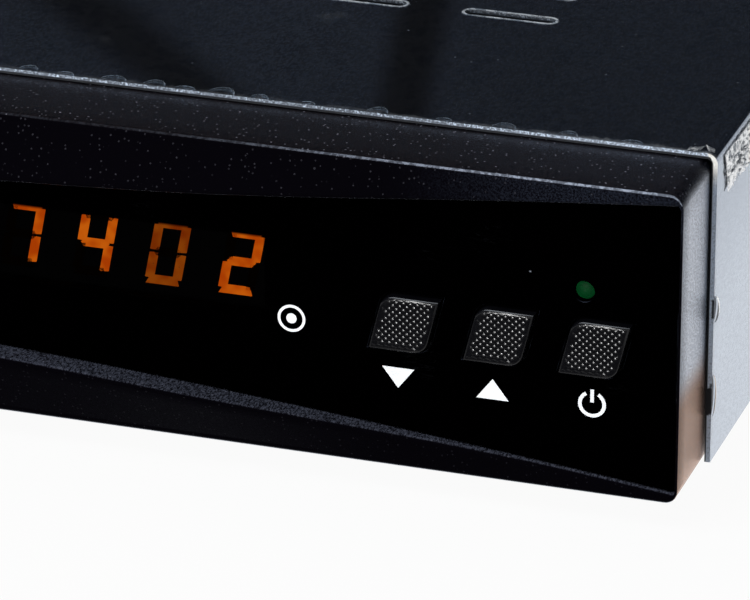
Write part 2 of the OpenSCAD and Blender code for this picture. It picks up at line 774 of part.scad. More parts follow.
module tuner_can() {
    color([0.78, 0.78, 0.76]) difference() {
        block([tuner_x1 - tuner_w, tuner_can_y, board_top], [tuner_x1, board_rear, board_top + tuner_h]);
        for (i = [1:5]) let (x = tuner_x1 - tuner_w + i*tuner_w/6)
            block([x - 1, tuner_can_y + tuner_d/5, board_top + tuner_h - 0.4],
                  [x + 1, board_rear - tuner_d/4, board_top + tuner_h + cut]);
    }
}

// A barrel with a thread behind the nut and a plainer neck through the rear wall
module aerial_connectors() {
    neck_r = thread_r - 0.2;
    color([0.8, 0.76, 0.62]) for (x = aerial_x) difference() {
        union() {
            rod_y(x, aerial_z, neck_r, board_rear, body_d + nut_t + cut);
            rod_y(x, aerial_z, thread_r, body_d + nut_t, body_d + thread_l);
        }
        rod_y(x, aerial_z, thread_r - 1.2, body_d + nut_t, body_d + thread_l + cut);
    }
}

module aerial_insulators() {
    color([0.92, 0.92, 0.9]) for (x = aerial_x) difference() {
        rod_y(x, aerial_z, thread_r - 1.2, body_d + nut_t, body_d + thread_l - 0.4);
        rod_y(x, aerial_z, 0.7, body_d + nut_t + 2, body_d + thread_l + cut);
    }
}

module aerial_nuts() {
    color([0.82, 0.8, 0.7]) for (x = aerial_x) translate([x, body_d + nut_t, aerial_z]) rotate([90, 0, 0])
        difference() {
            cylinder(r = nut_r, h = nut_t, $fn = 6);
            translate([0, 0, -cut]) cylinder(r = thread_r + 0.05, h = nut_t + 2*cut);
        }
}

// A pressed steel socket shell, open to the rear
module socket_shell(x, w, h, depth) {
    t = 0.4;
    difference() {
        block([x - w/2, board_rear - depth, board_top + 0.25], [x + w/2, body_d + 0.8, board_top + 0.25 + h]);
        block([x - w/2 + t, board_rear - depth + t, board_top + 0.25 + t],
              [x + w/2 - t, body_d + 0.8 + cut, board_top + 0.25 + h - t]);
    }
}

module hdmi_socket() {
    color([0.8, 0.8, 0.8]) {
        socket_shell(hdmi_x, hdmi_w, hdmi_h, 10);
        for (s = [-1, 1]) block([hdmi_x + s*5 - 1, board_rear - 8, board_top], [hdmi_x + s*5 + 1, board_rear - 4, board_top + 0.3]);
    }
}

module usb_socket() {
    color([0.8, 0.8, 0.8]) {
        socket_shell(usb_x, usb_w, usb_h, 12);
        for (s = [-1, 1]) block([usb_x + s*4 - 1, board_rear - 8, board_top], [usb_x + s*4 + 1, board_rear - 4, board_top + 0.3]);
    }
}

module socket_tongues() {
    color([0.06, 0.06, 0.06])
        block([hdmi_x - 5.5, board_rear - 9.6, board_top + 2.5], [hdmi_x + 5.5, body_d - 1, board_top + 3.5]);
    color([0.06, 0.06, 0.06])
        block([usb_x - 5.4, board_rear - 11.6, board_top + 3.6], [usb_x + 5.4, body_d - 1, board_top + 5.4]);
}

module jack(i) {
    x = jack_x[i];
    half = jack_block/2;
    difference() {
        union() {
            block([x - half, board_rear - 14, board_top], [x + half, board_rear, jack_z + half - 1]);
            rod_y(x, jack_z, insert_r, board_rear - 1, body_d + jack_l - 0.3);
        }
        rod_y(x, jack_z, jack_hole_r, body_d - 2, body_d + jack_l + cut);
    }
}

module jack_shells() {
    color([0.82, 0.82, 0.84]) for (x = jack_x) difference() {
        rod_y(x, jack_z, shell_r, board_rear, body_d + jack_l);
        rod_y(x, jack_z, insert_r, board_rear - cut, body_d + jack_l + cut);
    }
}

// ---- power supply --------------------------------------------------------------------------

module power_board() color([0.5, 0.42, 0.2]) board_plate(power_x0, power_x1, power_d, power_holes);

module insulating_sheet() {
    gap = 3;
    t = 0.3;
    color([0.9, 0.9, 0.86]) difference() {
        block([power_x0, board_rear - power_d, floor_top], [power_x1, board_rear, floor_top + t]);
        for (p = power_holes) rod_z(p[0], p[1], gap + 0.3, floor_top - cut, floor_top + t + cut);
        for (y = foot_y) rod_z(-foot_x, y, peg_r + 1, floor_top - cut, floor_top + t + cut);
    }
}

module mains_inlet() {
    color([0.08, 0.08, 0.09]) difference() {
        union() {
            block([inlet_x - inlet_w/2, board_rear - inlet_d, inlet_z - inlet_h/2],
                  [inlet_x + inlet_w/2, body_d + 0.5, inlet_z + inlet_h/2]);
            block([inlet_x - inlet_w/2 - inlet_rim, body_d, inlet_z - inlet_h/2 - 1.2],
                  [inlet_x + inlet_w/2 + inlet_rim, body_d + inlet_flange, inlet_z + inlet_h/2 + 1.2]);
            block([inlet_x - 7, board_rear - inlet_d, board_top], [inlet_x + 7, board_rear - 4, inlet_z]);
        }
        for (s = [-1, 1]) rod_y(inlet_x + s*pin_pitch/2, inlet_z, inlet_r, body_d - 8, body_d + inlet_flange + cut);
        block([inlet_x - pin_pitch/2, body_d - 8, inlet_z - 2.7],
              [inlet_x + pin_pitch/2, body_d + inlet_flange + cut, inlet_z + 2.7]);
    }
}

module mains_pins() {
    color([0.85, 0.83, 0.72]) for (s = [-1, 1])
        rod_y(inlet_x + s*pin_pitch/2, inlet_z, mains_pin_r, body_d - 8, body_d + inlet_flange - 1);
}

module rocker_housing() {
    side = 1.2;
    face = body_d + rocker_flange;
    color([0.07, 0.07, 0.08]) difference() {
        union() {
            block([rocker_x - rocker_w/2, body_d - rocker_body, rocker_z - rocker_h/2],
                  [rocker_x + rocker_w/2, body_d + 0.5, rocker_z + rocker_h/2]);
            block([rocker_x - rocker_w/2 - rocker_rim, body_d, rocker_z - rocker_h/2 - rocker_rim],
                  [rocker_x + rocker_w/2 + rocker_rim, face, rocker_z + rocker_h/2 + rocker_rim]);
        }
        block([rocker_x - rocker_w/2 + side, body_d - 8, rocker_z - rocker_h/2 + 0.8],
              [rocker_x + rocker_w/2 - side, face + cut, rocker_z + rocker_h/2 - 0.8]);
        rod_x(pivot_y, rocker_z, pivot_r + pivot_gap, rocker_x - rocker_w/2 - cut, rocker_x + rocker_w/2 + cut);
    }
}

// The rocker rests with its upper half pressed in
module rocker() {
    half_x = rocker_w/2 - 1.2 - seat;
    half_z = rocker_h/2 - 1.9;
    color([0.1, 0.1, 0.11]) translate([0, pivot_y, rocker_z]) {
        rotate([rocker_turn/2, 0, 0]) along_x(rocker_x - half_x, rocker_x + half_x)
            polygon([[-2.2, -3], [1, -half_z], [4.4, -half_z], [2.4, 0], [4.4, half_z], [1, half_z], [-2.2, 3]]);
        rod_x(0, 0, pivot_r, rocker_x - rocker_w/2 + 0.3, rocker_x + rocker_w/2 - 0.3);
    }
}

// The power board's parts stand in rows from the rear to the front, each row clear of the last
sink_d = 10;                   // width of the transistor and its heat sink together
fuse_x = power_x1 - board_edge - fuse_r;
fuse_y = board_rear - inlet_d - 2.5*part_gap;
choke_x = power_x0 + board_edge + choke_r + 3;
choke_y = fuse_y - fuse_l;
bulk_x = power_x0 + board_edge + bulk_r;
bulk_y = choke_y - choke_d/2 - part_gap - bulk_r;
trafo_gap = (power_w - 2*board_edge - 2*bulk_r - trafo_w - sink_d)/2;
trafo_x = bulk_x + bulk_r + trafo_gap + trafo_w/2;
trafo_y = bulk_y;
fin_x = power_x1 - board_edge - sink_d;
fin_y = fuse_y - fuse_l - part_gap - fin_l/2;
fuse_z = board_top + fuse_r + 1.9;
harness_y = min(fin_y - fin_l/2, trafo_y - trafo_d/2) - part_gap - harness_w/2;

module transformer_core() {
    color([0.16, 0.16, 0.17]) difference() {
        block([trafo_x - trafo_w/2, trafo_y - core_t/2, board_top + 1],
              [trafo_x + trafo_w/2, trafo_y + core_t/2, board_top + trafo_h]);
        block([trafo_x - trafo_w/2 + core_leg, trafo_y - core_t/2 - cut, board_top + 1 + core_leg],
              [trafo_x + trafo_w/2 - core_leg, trafo_y + core_t/2 + cut, board_top + trafo_h - core_leg]);
    }
}

module transformer_winding() {
    gap = 0.05;
    inner = trafo_w/2 - core_leg - gap;
    foot = (trafo_d - core_t)/2 - 1;
    color([0.85, 0.75, 0.25]) {
        block([trafo_x - inner, trafo_y - trafo_d/2, board_top + 1 + core_leg + gap],
              [trafo_x + inner, trafo_y + trafo_d/2, board_top + trafo_h - core_leg - gap]);
        for (y = [trafo_y - trafo_d/2, trafo_y + trafo_d/2 - foot])
            block([trafo_x - inner, y, board_top], [trafo_x + inner, y + foot, board_top + core_leg + 2]);
    }
}

module bulk_capacitor() {
    color([0.08, 0.09, 0.12]) translate([bulk_x, bulk_y, board_top]) capacitor(bulk_r, bulk_h);
}

module output_capacitors() {
    color([0.1, 0.12, 0.3]) for (i = [0:2])
        translate([trafo_x + 3*small_r*(i - 1), harness_y - harness_w/2 - part_gap - small_r, board_top])
            capacitor(small_r, small_h);
}

module line_capacitor() {
    x1 = fuse_x - fuse_r - 3.4;
    color([0.85, 0.72, 0.2]) block([x1 - 18, choke_y - 4, board_top], [x1, choke_y + 5, board_top + 14]);
}

module line_choke() {
    color([0.35, 0.2, 0.08]) translate([choke_x, choke_y, board_top + choke_r]) rotate([90, 0, 0]) {
        rotate_extrude() translate([choke_r - 5, 1 - choke_d/2]) square([4, choke_d - 2]);
        for (s = [0, 180]) rotate(s + 35) rotate_extrude(angle = 110)
            translate([choke_r - 6, -choke_d/2]) square([6, choke_d]);
    }
    color([0.35, 0.2, 0.08])
        block([choke_x - 5, choke_y - choke_d/2 + 1, board_top], [choke_x + 5, choke_y + choke_d/2 - 1, board_top + 2.2]);
}

module mains_fuse() {
    color([0.8, 0.82, 0.82]) {
        rod_y(fuse_x, fuse_z, fuse_r - 0.2, fuse_y - fuse_l + 1, fuse_y - 1);
        for (y = [fuse_y - fuse_l, fuse_y - 5]) rod_y(fuse_x, fuse_z, fuse_r, y, y + 5);
    }
}

module fuse_clips() {
    color([0.75, 0.72, 0.6]) for (y = [fuse_y - fuse_l + 0.5, fuse_y - 4.5]) difference() {
        block([fuse_x - fuse_r - 0.6, y, board_top], [fuse_x + fuse_r + 0.6, y + 4, fuse_z + 1.5]);
        rod_y(fuse_x, fuse_z, fuse_r, y - cut, y + 4 + cut);
        block([fuse_x - fuse_r + 0.6, y - cut, fuse_z + 0.5], [fuse_x + fuse_r - 0.6, y + 4 + cut, fuse_z + 1.5 + cut]);
    }
}

module switch_heat_sink() {
    x = fin_x + 4;
    y0 = fin_y - fin_l/2;
    color([0.7, 0.72, 0.74]) {
        block([x, y0, board_top], [x + 2, y0 + fin_l, board_top + fin_h]);
        for (i = [0:4]) let (y = y0 + 1 + i*(fin_l - 3.5)/4)
            block([x + 1, y, board_top + 4], [fin_x + sink_d, y + 1.5, board_top + fin_h]);
        block([fin_x, fin_y - 5, board_top + 6], [x + 0.5, fin_y + 5, board_top + 21]);
    }
}

// ---- cables inside the case ----------------------------------------------------------------

ribbon_x = main_x1 - ribbon_side;
ribbon_t = 1;
ribbon_z = front_board_z + ribbon_rise;
ribbon_y = front_board_y + board_t;
ribbon_end_y = board_rear - main_d + ribbon_in;
harness_x = [power_x1 - board_edge - harness_in, main_x0 + board_edge + 2*harness_in];
wire_r = 1;

// The ribbon leaves the front board's plug, runs back over the tray's front wall and drops to the main board
module ribbon_cable() {
    y0 = ribbon_y + plug_h;
    y1 = ribbon_end_y;
    z1 = board_top + plug_h;
    bow = 4;
    color([0.75, 0.76, 0.78]) along_x(ribbon_x - ribbon_w/2, ribbon_x + ribbon_w/2) polygon([
        [y0, ribbon_z - ribbon_t/2], [y1 - bow, ribbon_z + bow - ribbon_t/2], [y1 - ribbon_t/2, ribbon_z - ribbon_t],
        [y1 - ribbon_t/2, z1], [y1 + ribbon_t/2, z1], [y1 + ribbon_t/2, ribbon_z - ribbon_t/2],
        [y1 - bow/2, ribbon_z + bow + ribbon_t/2], [y0, ribbon_z + ribbon_t/2]]);
}

// The harness bridges the two boards
module power_harness() {
    z1 = board_top + plug_h;
    top = z1 + 6;
    color([0.8, 0.12, 0.1]) for (k = [-2:2])
        translate([0, harness_y + k*harness_w/5, 0]) {
            for (x = harness_x) rod_z(x, 0, wire_r, z1, top);
            rod_x(0, top - wire_r, wire_r, harness_x[0], harness_x[1]);
        }
}

module cable_plugs() {
    color([0.9, 0.9, 0.86]) {
        for (x = harness_x) block([x - 3, harness_y - harness_w/2 - 1, board_top],
                                  [x + 3, harness_y + harness_w/2 + 1, board_top + plug_h]);
        block([ribbon_x - ribbon_w/2 - 1, ribbon_end_y - 3, board_top],
              [ribbon_x + ribbon_w/2 + 1, ribbon_end_y + 3, board_top + plug_h]);
        block([ribbon_x - ribbon_w/2 - 1, ribbon_y, ribbon_z - 3],
              [ribbon_x + ribbon_w/2 + 1, ribbon_y + plug_h, ribbon_z + 3]);
    }
}

// ---- fasteners of the flat boards ----------------------------------------------------------

module board_standoffs() {
    color([0.8, 0.7, 0.4]) for (p = board_holes) translate([p[0], p[1], floor_top]) difference() {
        cylinder(r = 3, h = standoff_h, $fn = 6);
        translate([0, 0, 0.6]) cylinder(r = pilot_r, h = standoff_h);
    }
}

module board_screws() {
    color([0.75, 0.75, 0.78]) for (p = board_holes) translate([p[0], p[1], board_top]) screw(board_t + 3);
}

// ---- every node, on the ground -------------------------------------------------------------

placed() chassis_tray();
placed() top_cover();
placed() protective_film();
placed() front_bezel();
placed() front_window();
placed() display_module();
placed() display_segments();
placed() status_lamp();
placed() remote_receiver();
placed() front_board();
placed() button(0);  // channel_down_button
placed() button(1);  // channel_up_button
placed() button(2);  // power_button
placed() plunger(0);  // channel_down_plunger
placed() plunger(1);  // channel_up_plunger
placed() plunger(2);  // power_plunger
placed() tact_switches();
placed() main_board();
placed() processor();
placed() memory_chips();
placed() heat_sink();
placed() board_capacitors();
placed() tuner_can();
placed() aerial_connectors();
placed() aerial_insulators();
placed() aerial_nuts();
placed() hdmi_socket();
placed() usb_socket();
placed() socket_tongues();
placed() color([0.9, 0.4, 0.05]) jack(0);  // digital_audio_jack
placed() color([0.75, 0.08, 0.08]) jack(1);  // right_audio_jack
placed() color([0.9, 0.9, 0.88]) jack(2);  // left_audio_jack
placed() color([0.9, 0.75, 0.1]) jack(3);  // video_jack
placed() jack_shells();
placed() power_board();
placed() insulating_sheet();
placed() mains_inlet();
placed() mains_pins();
placed() rocker_housing();
placed() rocker();
placed() transformer_core();
placed() transformer_winding();
placed() bulk_capacitor();
placed() output_capacitors();
placed() line_capacitor();
placed() line_choke();
placed() mains_fuse();
placed() fuse_clips();
placed() switch_heat_sink();
placed() ribbon_cable();
placed() power_harness();
placed() cable_plugs();
placed() board_standoffs();
placed() board_screws();
placed() front_board_screws();
placed() bezel_screws();
placed() cover_screws();
placed() feet();
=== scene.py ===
# %% [markdown]
# # A satellite television receiver
#
# The object is a slim steel box behind a moulded black front. A folded cover with rows of vent slots wears
# its clear delivery film, which has begun to blister and peel. The front is a plastic bezel whose upper and
# lower bands bulge forward round a glossy window, with a four-digit display, three knurled buttons and a
# small green lamp. The exact solids come from the CAD model. This lesson dresses them: pieces that need a
# finer form are built again in bmesh, and the rest keep their solids and get a worked-out finish.

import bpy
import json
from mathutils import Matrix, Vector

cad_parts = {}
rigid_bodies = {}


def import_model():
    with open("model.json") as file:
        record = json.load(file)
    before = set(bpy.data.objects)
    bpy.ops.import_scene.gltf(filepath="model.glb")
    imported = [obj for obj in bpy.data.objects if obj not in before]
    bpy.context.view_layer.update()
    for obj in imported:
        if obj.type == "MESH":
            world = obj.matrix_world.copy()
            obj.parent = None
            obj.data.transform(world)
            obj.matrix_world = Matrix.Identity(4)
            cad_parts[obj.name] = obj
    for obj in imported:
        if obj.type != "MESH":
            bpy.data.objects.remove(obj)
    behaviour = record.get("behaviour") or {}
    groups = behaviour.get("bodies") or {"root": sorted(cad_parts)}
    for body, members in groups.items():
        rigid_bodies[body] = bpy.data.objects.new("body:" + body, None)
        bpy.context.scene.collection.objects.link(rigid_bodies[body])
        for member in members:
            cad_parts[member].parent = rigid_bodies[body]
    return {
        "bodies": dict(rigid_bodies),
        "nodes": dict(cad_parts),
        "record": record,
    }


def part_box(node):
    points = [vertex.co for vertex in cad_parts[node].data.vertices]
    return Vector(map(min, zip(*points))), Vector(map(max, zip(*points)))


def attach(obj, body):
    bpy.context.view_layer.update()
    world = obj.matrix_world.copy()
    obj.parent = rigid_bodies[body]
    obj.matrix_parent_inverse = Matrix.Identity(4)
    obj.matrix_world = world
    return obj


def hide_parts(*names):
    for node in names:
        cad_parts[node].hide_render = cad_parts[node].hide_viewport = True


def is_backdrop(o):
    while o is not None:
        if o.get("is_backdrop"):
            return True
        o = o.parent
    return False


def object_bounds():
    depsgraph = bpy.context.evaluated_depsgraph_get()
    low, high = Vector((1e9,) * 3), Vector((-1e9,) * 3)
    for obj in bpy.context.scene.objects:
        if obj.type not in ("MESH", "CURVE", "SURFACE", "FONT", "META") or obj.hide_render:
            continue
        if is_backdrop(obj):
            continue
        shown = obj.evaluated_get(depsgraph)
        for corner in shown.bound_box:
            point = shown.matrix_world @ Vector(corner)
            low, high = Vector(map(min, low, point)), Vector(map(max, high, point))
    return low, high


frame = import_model()
CAD_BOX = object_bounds()
print(len(frame["nodes"]), "solids on", len(frame["bodies"]), "bodies")

# %% [markdown]
# ## One ruler for everything
#
# A maker measures this front from the bezel's rim and its bottom edge, in millimetres. Blender's frame is in
# metres from the middle of the object's foot print, so one matrix carries a finished mesh from the one ruler
# to the other. Its numbers are read off the CAD solids, so they can't drift apart.

# %% Measure the frame
import json
import math

import bmesh
import bpy
from mathutils import Matrix, Vector

MM = 0.001
BEZEL_LOW, BEZEL_HIGH = [corner/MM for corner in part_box("front_bezel")]
COVER_LOW, COVER_HIGH = [corner/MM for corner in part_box("top_cover")]
BEZEL_D = 20
HALF_W = BEZEL_HIGH.x
BODY_H = BEZEL_HIGH.z - BEZEL_LOW.z
FOOT_H = BEZEL_LOW.z
RIM_Y = BEZEL_HIGH.y - BEZEL_D
COVER_FRONT = COVER_LOW.y - RIM_Y
COVER_TOP = COVER_HIGH.z - FOOT_H
COVER_HALF = COVER_HIGH.x
BODY_D = COVER_HIGH.y - RIM_Y
SHEET = 0.8
BEND_R = 1.5
PLACE = Matrix.Diagonal((MM, MM, MM, 1)) @ Matrix.Translation((0, RIM_Y, FOOT_H))
print(f"bezel {2*HALF_W:.1f} x {BODY_H:.1f} mm, cover {COVER_FRONT:.1f} to {BODY_D:.1f} mm behind the rim")

# %% [markdown]
# ## Shader maths that reads like arithmetic
#
# A procedural finish is a sum of small patterns. Written node by node, the sum disappears among the links, so
# a wrapper lets a socket be added, multiplied and compared like a number. Every other node comes from one
# method that takes its type, its settings and the values or links of its sockets.

# %% Wrap a socket
class Wire:
    """A node's output, with the arithmetic of a number."""

    def __init__(self, finish, socket):
        self.finish = finish
        self.socket = socket

    def maths(self, operation, *values):
        return self.finish.node("Math", {"operation": operation}, dict(enumerate(values)))

    def __add__(self, other):
        return self.maths("ADD", self, other)

    def __sub__(self, other):
        return self.maths("SUBTRACT", self, other)

    def __rsub__(self, other):
        return self.maths("SUBTRACT", other, self)

    def __mul__(self, other):
        return self.maths("MULTIPLY", self, other)

    def __truediv__(self, other):
        return self.maths("DIVIDE", self, other)

    def __pow__(self, other):
        return self.maths("POWER", self, other)

    def __abs__(self):
        return self.maths("ABSOLUTE", self)

    def __round__(self):
        return self.maths("ROUND", self)

    def least(self, other):
        return self.maths("MINIMUM", self, other)

    def most(self, other):
        return self.maths("MAXIMUM", self, other)

    def ramp(self, start, end):
        """0 before start and 1 past end, with a smooth rise between them."""
        sockets = {"Value": self, "From Min": start, "From Max": end}
        return self.finish.node("MapRange", {"interpolation_type": "SMOOTHSTEP"}, sockets)

    __radd__ = __add__
    __rmul__ = __mul__


print("a wire adds, multiplies and knows", [name for name in vars(Wire) if not name.startswith("_")])


# %% Build a node tree
WHITE = (1, 1, 1, 1)


def rgb(*levels):
    """A colour as a picture gives it, in levels from 0 to 255, made linear for the shaders."""
    shares = [level/255 for level in levels]
    return tuple(((s + 0.055)/1.055)**2.4 if s > 0.04 else s/12.92 for s in shares) + (1,)


class Finish:
    """A material in the making. Patterns are laid out in millimetres on the object's own ruler."""

    def __init__(self, name, tree=None):
        if tree is None:
            self.material = bpy.data.materials.new(name)
            self.material.use_nodes = True
            tree = self.material.node_tree
        self.tree = tree
        self.tree.nodes.clear()

    def node(self, kind, settings=(), sockets=(), output=0):
        """A node of any type: its settings come first, then the values or links of its sockets."""
        made = self.tree.nodes.new("ShaderNode" + kind)
        for name, value in dict(settings).items():
            setattr(made, name, value)
        for name, value in dict(sockets).items():
            if isinstance(value, Wire):
                self.tree.links.new(value.socket, made.inputs[name])
            else:
                made.inputs[name].default_value = value
        return Wire(self, made.outputs[output])

    def place(self, stretch=None):
        """Object coordinates, squeezed or stretched along an axis if asked."""
        spot = self.node("TexCoord", output="Object")
        if stretch is None:
            return spot
        return self.node("VectorMath", {"operation": "MULTIPLY"}, {0: spot, 1: stretch})

    def axis(self, letter):
        """How far along x, y or z a point lies, in millimetres from the rim and the bottom edge."""
        start = {"X": 0, "Y": RIM_Y, "Z": FOOT_H}[letter]
        return self.node("SeparateXYZ", {}, {0: self.place()}, output=letter)/MM - start

    def noise(self, size, detail=2.0, roughness=0.5, stretch=None):
        """Soft noise from 0 to 1 with lumps about size millimetres across."""
        sockets = {"Vector": self.place(stretch), "Scale": 1/(size*MM), "Detail": detail}
        sockets["Roughness"] = roughness
        return self.node("TexNoise", {}, sockets)

    def specks(self, size, share, rim):
        """1 on small round specks. share is how much of their spacing they fill, rim is their soft edge."""
        sockets = {"Vector": self.place(), "Scale": 1/(size*MM)}
        near = self.node("TexVoronoi", {}, sockets)
        chosen = self.node("TexVoronoi", {}, sockets, output="Color")
        pick = self.node("SeparateColor", {}, {0: chosen})
        return near.ramp(share + rim, share)*pick.ramp(0.45, 0.75)

    def mix(self, factor, first, second):
        return self.node("Mix", {"data_type": "RGBA"}, {0: factor, 6: first, 7: second}, output=2)

    def relief(self, height, depth):
        """A bump from a 0 to 1 height. depth is its depth in millimetres."""
        return self.node("Bump", {}, {"Height": height, "Distance": depth*MM})

    def surface(self, colour, roughness=0.5, sockets=()):
        made = {"Base Color": colour, "Roughness": roughness}
        made.update(sockets)
        return self.node("BsdfPrincipled", {}, made)

    def looking(self, letter):
        """How far a face looks along x, y or z: 1 straight along it and 0 square to it."""
        normal = self.node("NewGeometry", output="Normal")
        return self.node("SeparateXYZ", {}, {0: normal}, output=letter)

    def glossed(self, under, power, most, roughness, normal=None, tint=WHITE):
        """A gloss over another shader, weak seen square on and strong seen along the surface."""
        facing = self.node("LayerWeight", {}, {"Blend": 0.5}, output="Facing")
        shine = {"Metallic": 1.0}
        if normal is not None:
            shine["Normal"] = normal
        gloss = self.surface(tint, roughness, shine)
        return self.node("MixShader", {}, {0: (facing**power*most).least(1), 1: under, 2: gloss})

    def done(self, shader):
        self.node_out("OutputMaterial", shader)
        return self.material

    def node_out(self, kind, shader):
        end = self.tree.nodes.new("ShaderNode" + kind)
        self.tree.links.new(shader.socket, end.inputs[0])


print("a finish is laid out with", [name for name in vars(Finish) if not name.startswith("_")])

# %% [markdown]
# ## Finishing a mesh
#
# A piece is modelled in millimetres, then carried to its place in its mesh, so that its object stays at the
# origin, unturned and unscaled. Its faces are smooth except across an angle, where a machined or moulded
# edge would catch the light. A dressed copy takes a CAD solid's loose triangles, merges them and rounds
# their edges with a Bevel modifier, which suits pieces whose solid has the right shape already.

# %% Make a piece
WELD, CAD_WELD = 0.0005, 0.002
ROUNDED_ANGLE = 40


def flat_borders(bm):
    """Edges where a flat side meets a bend. Kept sharp, they stop the bend's shading from spreading."""
    def flat(face):
        return max(abs(share) for share in face.normal) > 0.99999
    bm.normal_update()
    bm.edges.index_update()
    return [e.index for e in bm.edges if len(e.link_faces) == 2 and sum(map(flat, e.link_faces)) == 1]


def make_piece(bm, name, finishes, body="case", stands_for=None, slot=None, sharp=35, outward=True,
               folded=False):
    """Turns a bmesh in millimetres into a finished object that rides on a body."""
    bmesh.ops.remove_doubles(bm, verts=bm.verts, dist=WELD)
    if outward:
        bmesh.ops.recalc_face_normals(bm, faces=bm.faces)
    bmesh.ops.transform(bm, matrix=PLACE, verts=bm.verts)
    borders = flat_borders(bm) if folded else []
    mesh = bpy.data.meshes.new(name)
    bm.to_mesh(mesh)
    bm.free()
    for finish in finishes if isinstance(finishes, list) else [finishes]:
        mesh.materials.append(finish)
    mesh.shade_smooth()
    mesh.set_sharp_from_angle(angle=math.radians(sharp))
    for index in borders:
        mesh.edges[index].use_edge_sharp = True
    piece = bpy.data.objects.new(name, mesh)
    bpy.context.scene.collection.objects.link(piece)
    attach(piece, body)
    if stands_for:
        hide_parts(stands_for)
    return piece


def solid_of(node):
    """A merged bmesh of a CAD solid, in millimetres, with its flat faces made whole again."""
    bm = bmesh.new()
    bm.from_mesh(frame["nodes"][node].data)
    bmesh.ops.transform(bm, matrix=PLACE.inverted(), verts=bm.verts)
    bmesh.ops.remove_doubles(bm, verts=bm.verts, dist=CAD_WELD)
    bmesh.ops.dissolve_limit(bm, angle_limit=math.radians(0.3), verts=bm.verts, edges=bm.edges)
    return bm


def round_edges(piece, width):
    """A Bevel modifier on the edges that turn by more than ROUNDED_ANGLE. width is in millimetres."""
    rounding = piece.modifiers.new("rounded edges", "BEVEL")
    rounding.width = width*MM
    rounding.segments = 2
    rounding.limit_method = "ANGLE"
    rounding.angle_limit = math.radians(ROUNDED_ANGLE)
    rounding.harden_normals = True
    return piece


BODY_OF = {node: body for body, nodes in frame["record"]["behaviour"]["bodies"].items() for node in nodes}
SLOT_OF = {part["node"]: part["material_slot"] for part in frame["record"]["subparts"]}


def dressed(node, finish, edge):
    """A CAD solid's merged copy with rounded edges, in the solid's place."""
    name = "dressed_" + node
    piece = make_piece(solid_of(node), name, finish, BODY_OF[node], node, SLOT_OF[node], outward=False)
    return round_edges(piece, edge)


print(len(SLOT_OF), "solids take their finish from", len(set(SLOT_OF.values())), "slots")

# %% [markdown]
# ## The cover's black paint
#
# The cover is sheet steel, painted black and faintly blue. Seen along its length the paint mirrors the room,
# and seen from above it stays dark, so its gloss is a share that grows as the surface turns away. On the
# sides that mirrored light is painted darker towards their top, a painted shade. A fine orange peel breaks
# the mirror a little, and dust lies on it as pale specks. Where the sheet was cut, at its front edge and
# inside each slot, bare zinc shows, rough from the shears, and that is a finish of its own. The innermost
# part of each cut face and the cut faces inside the slots are painted darker, as painted shadow, and bright
# flecks on the cut are painted glints.

# %% Cover finishes
DARK_STRETCH_Z, DARK_STRETCH_HALF = 9.8, 2.6
SIDE_BUBBLE_Z = 23.4
CUT_MARGIN = 0.08


def cover_paint():
    f = Finish("black cover paint")
    grain = f.noise(0.4, detail=3, roughness=0.65)
    cloud = f.noise(38, detail=2)
    dust = f.specks(3.1, 0.035, 0.03)
    colour = f.mix(0.4*cloud + 0.6*grain, rgb(1, 2, 3), rgb(11, 12, 16))
    colour = f.mix(dust*0.7, colour, rgb(150, 160, 172))
    normal = f.relief(grain, 0.004)
    paint = f.surface(colour, 0.42 + 0.12*cloud, {"Normal": normal, "Specular IOR Level": 0.05})
    top = f.looking("Z")
    # On the sides the gloss tint is darker towards their top: painted shade in the mirrored light.
    tint = f.mix((1 - top)*f.axis("Z").ramp(16, 46), rgb(216, 227, 243), rgb(180, 193, 211))
    powder = f.noise(0.3, detail=2, stretch=(1, 0.45, 1)).ramp(0.4, 0.6)
    tint = f.mix(powder*(0.16 + 0.7*top), tint, rgb(150, 156, 170))
    return f.done(f.glossed(paint, 1.5, 1.1, 0.13 - 0.1*top, tint=tint))


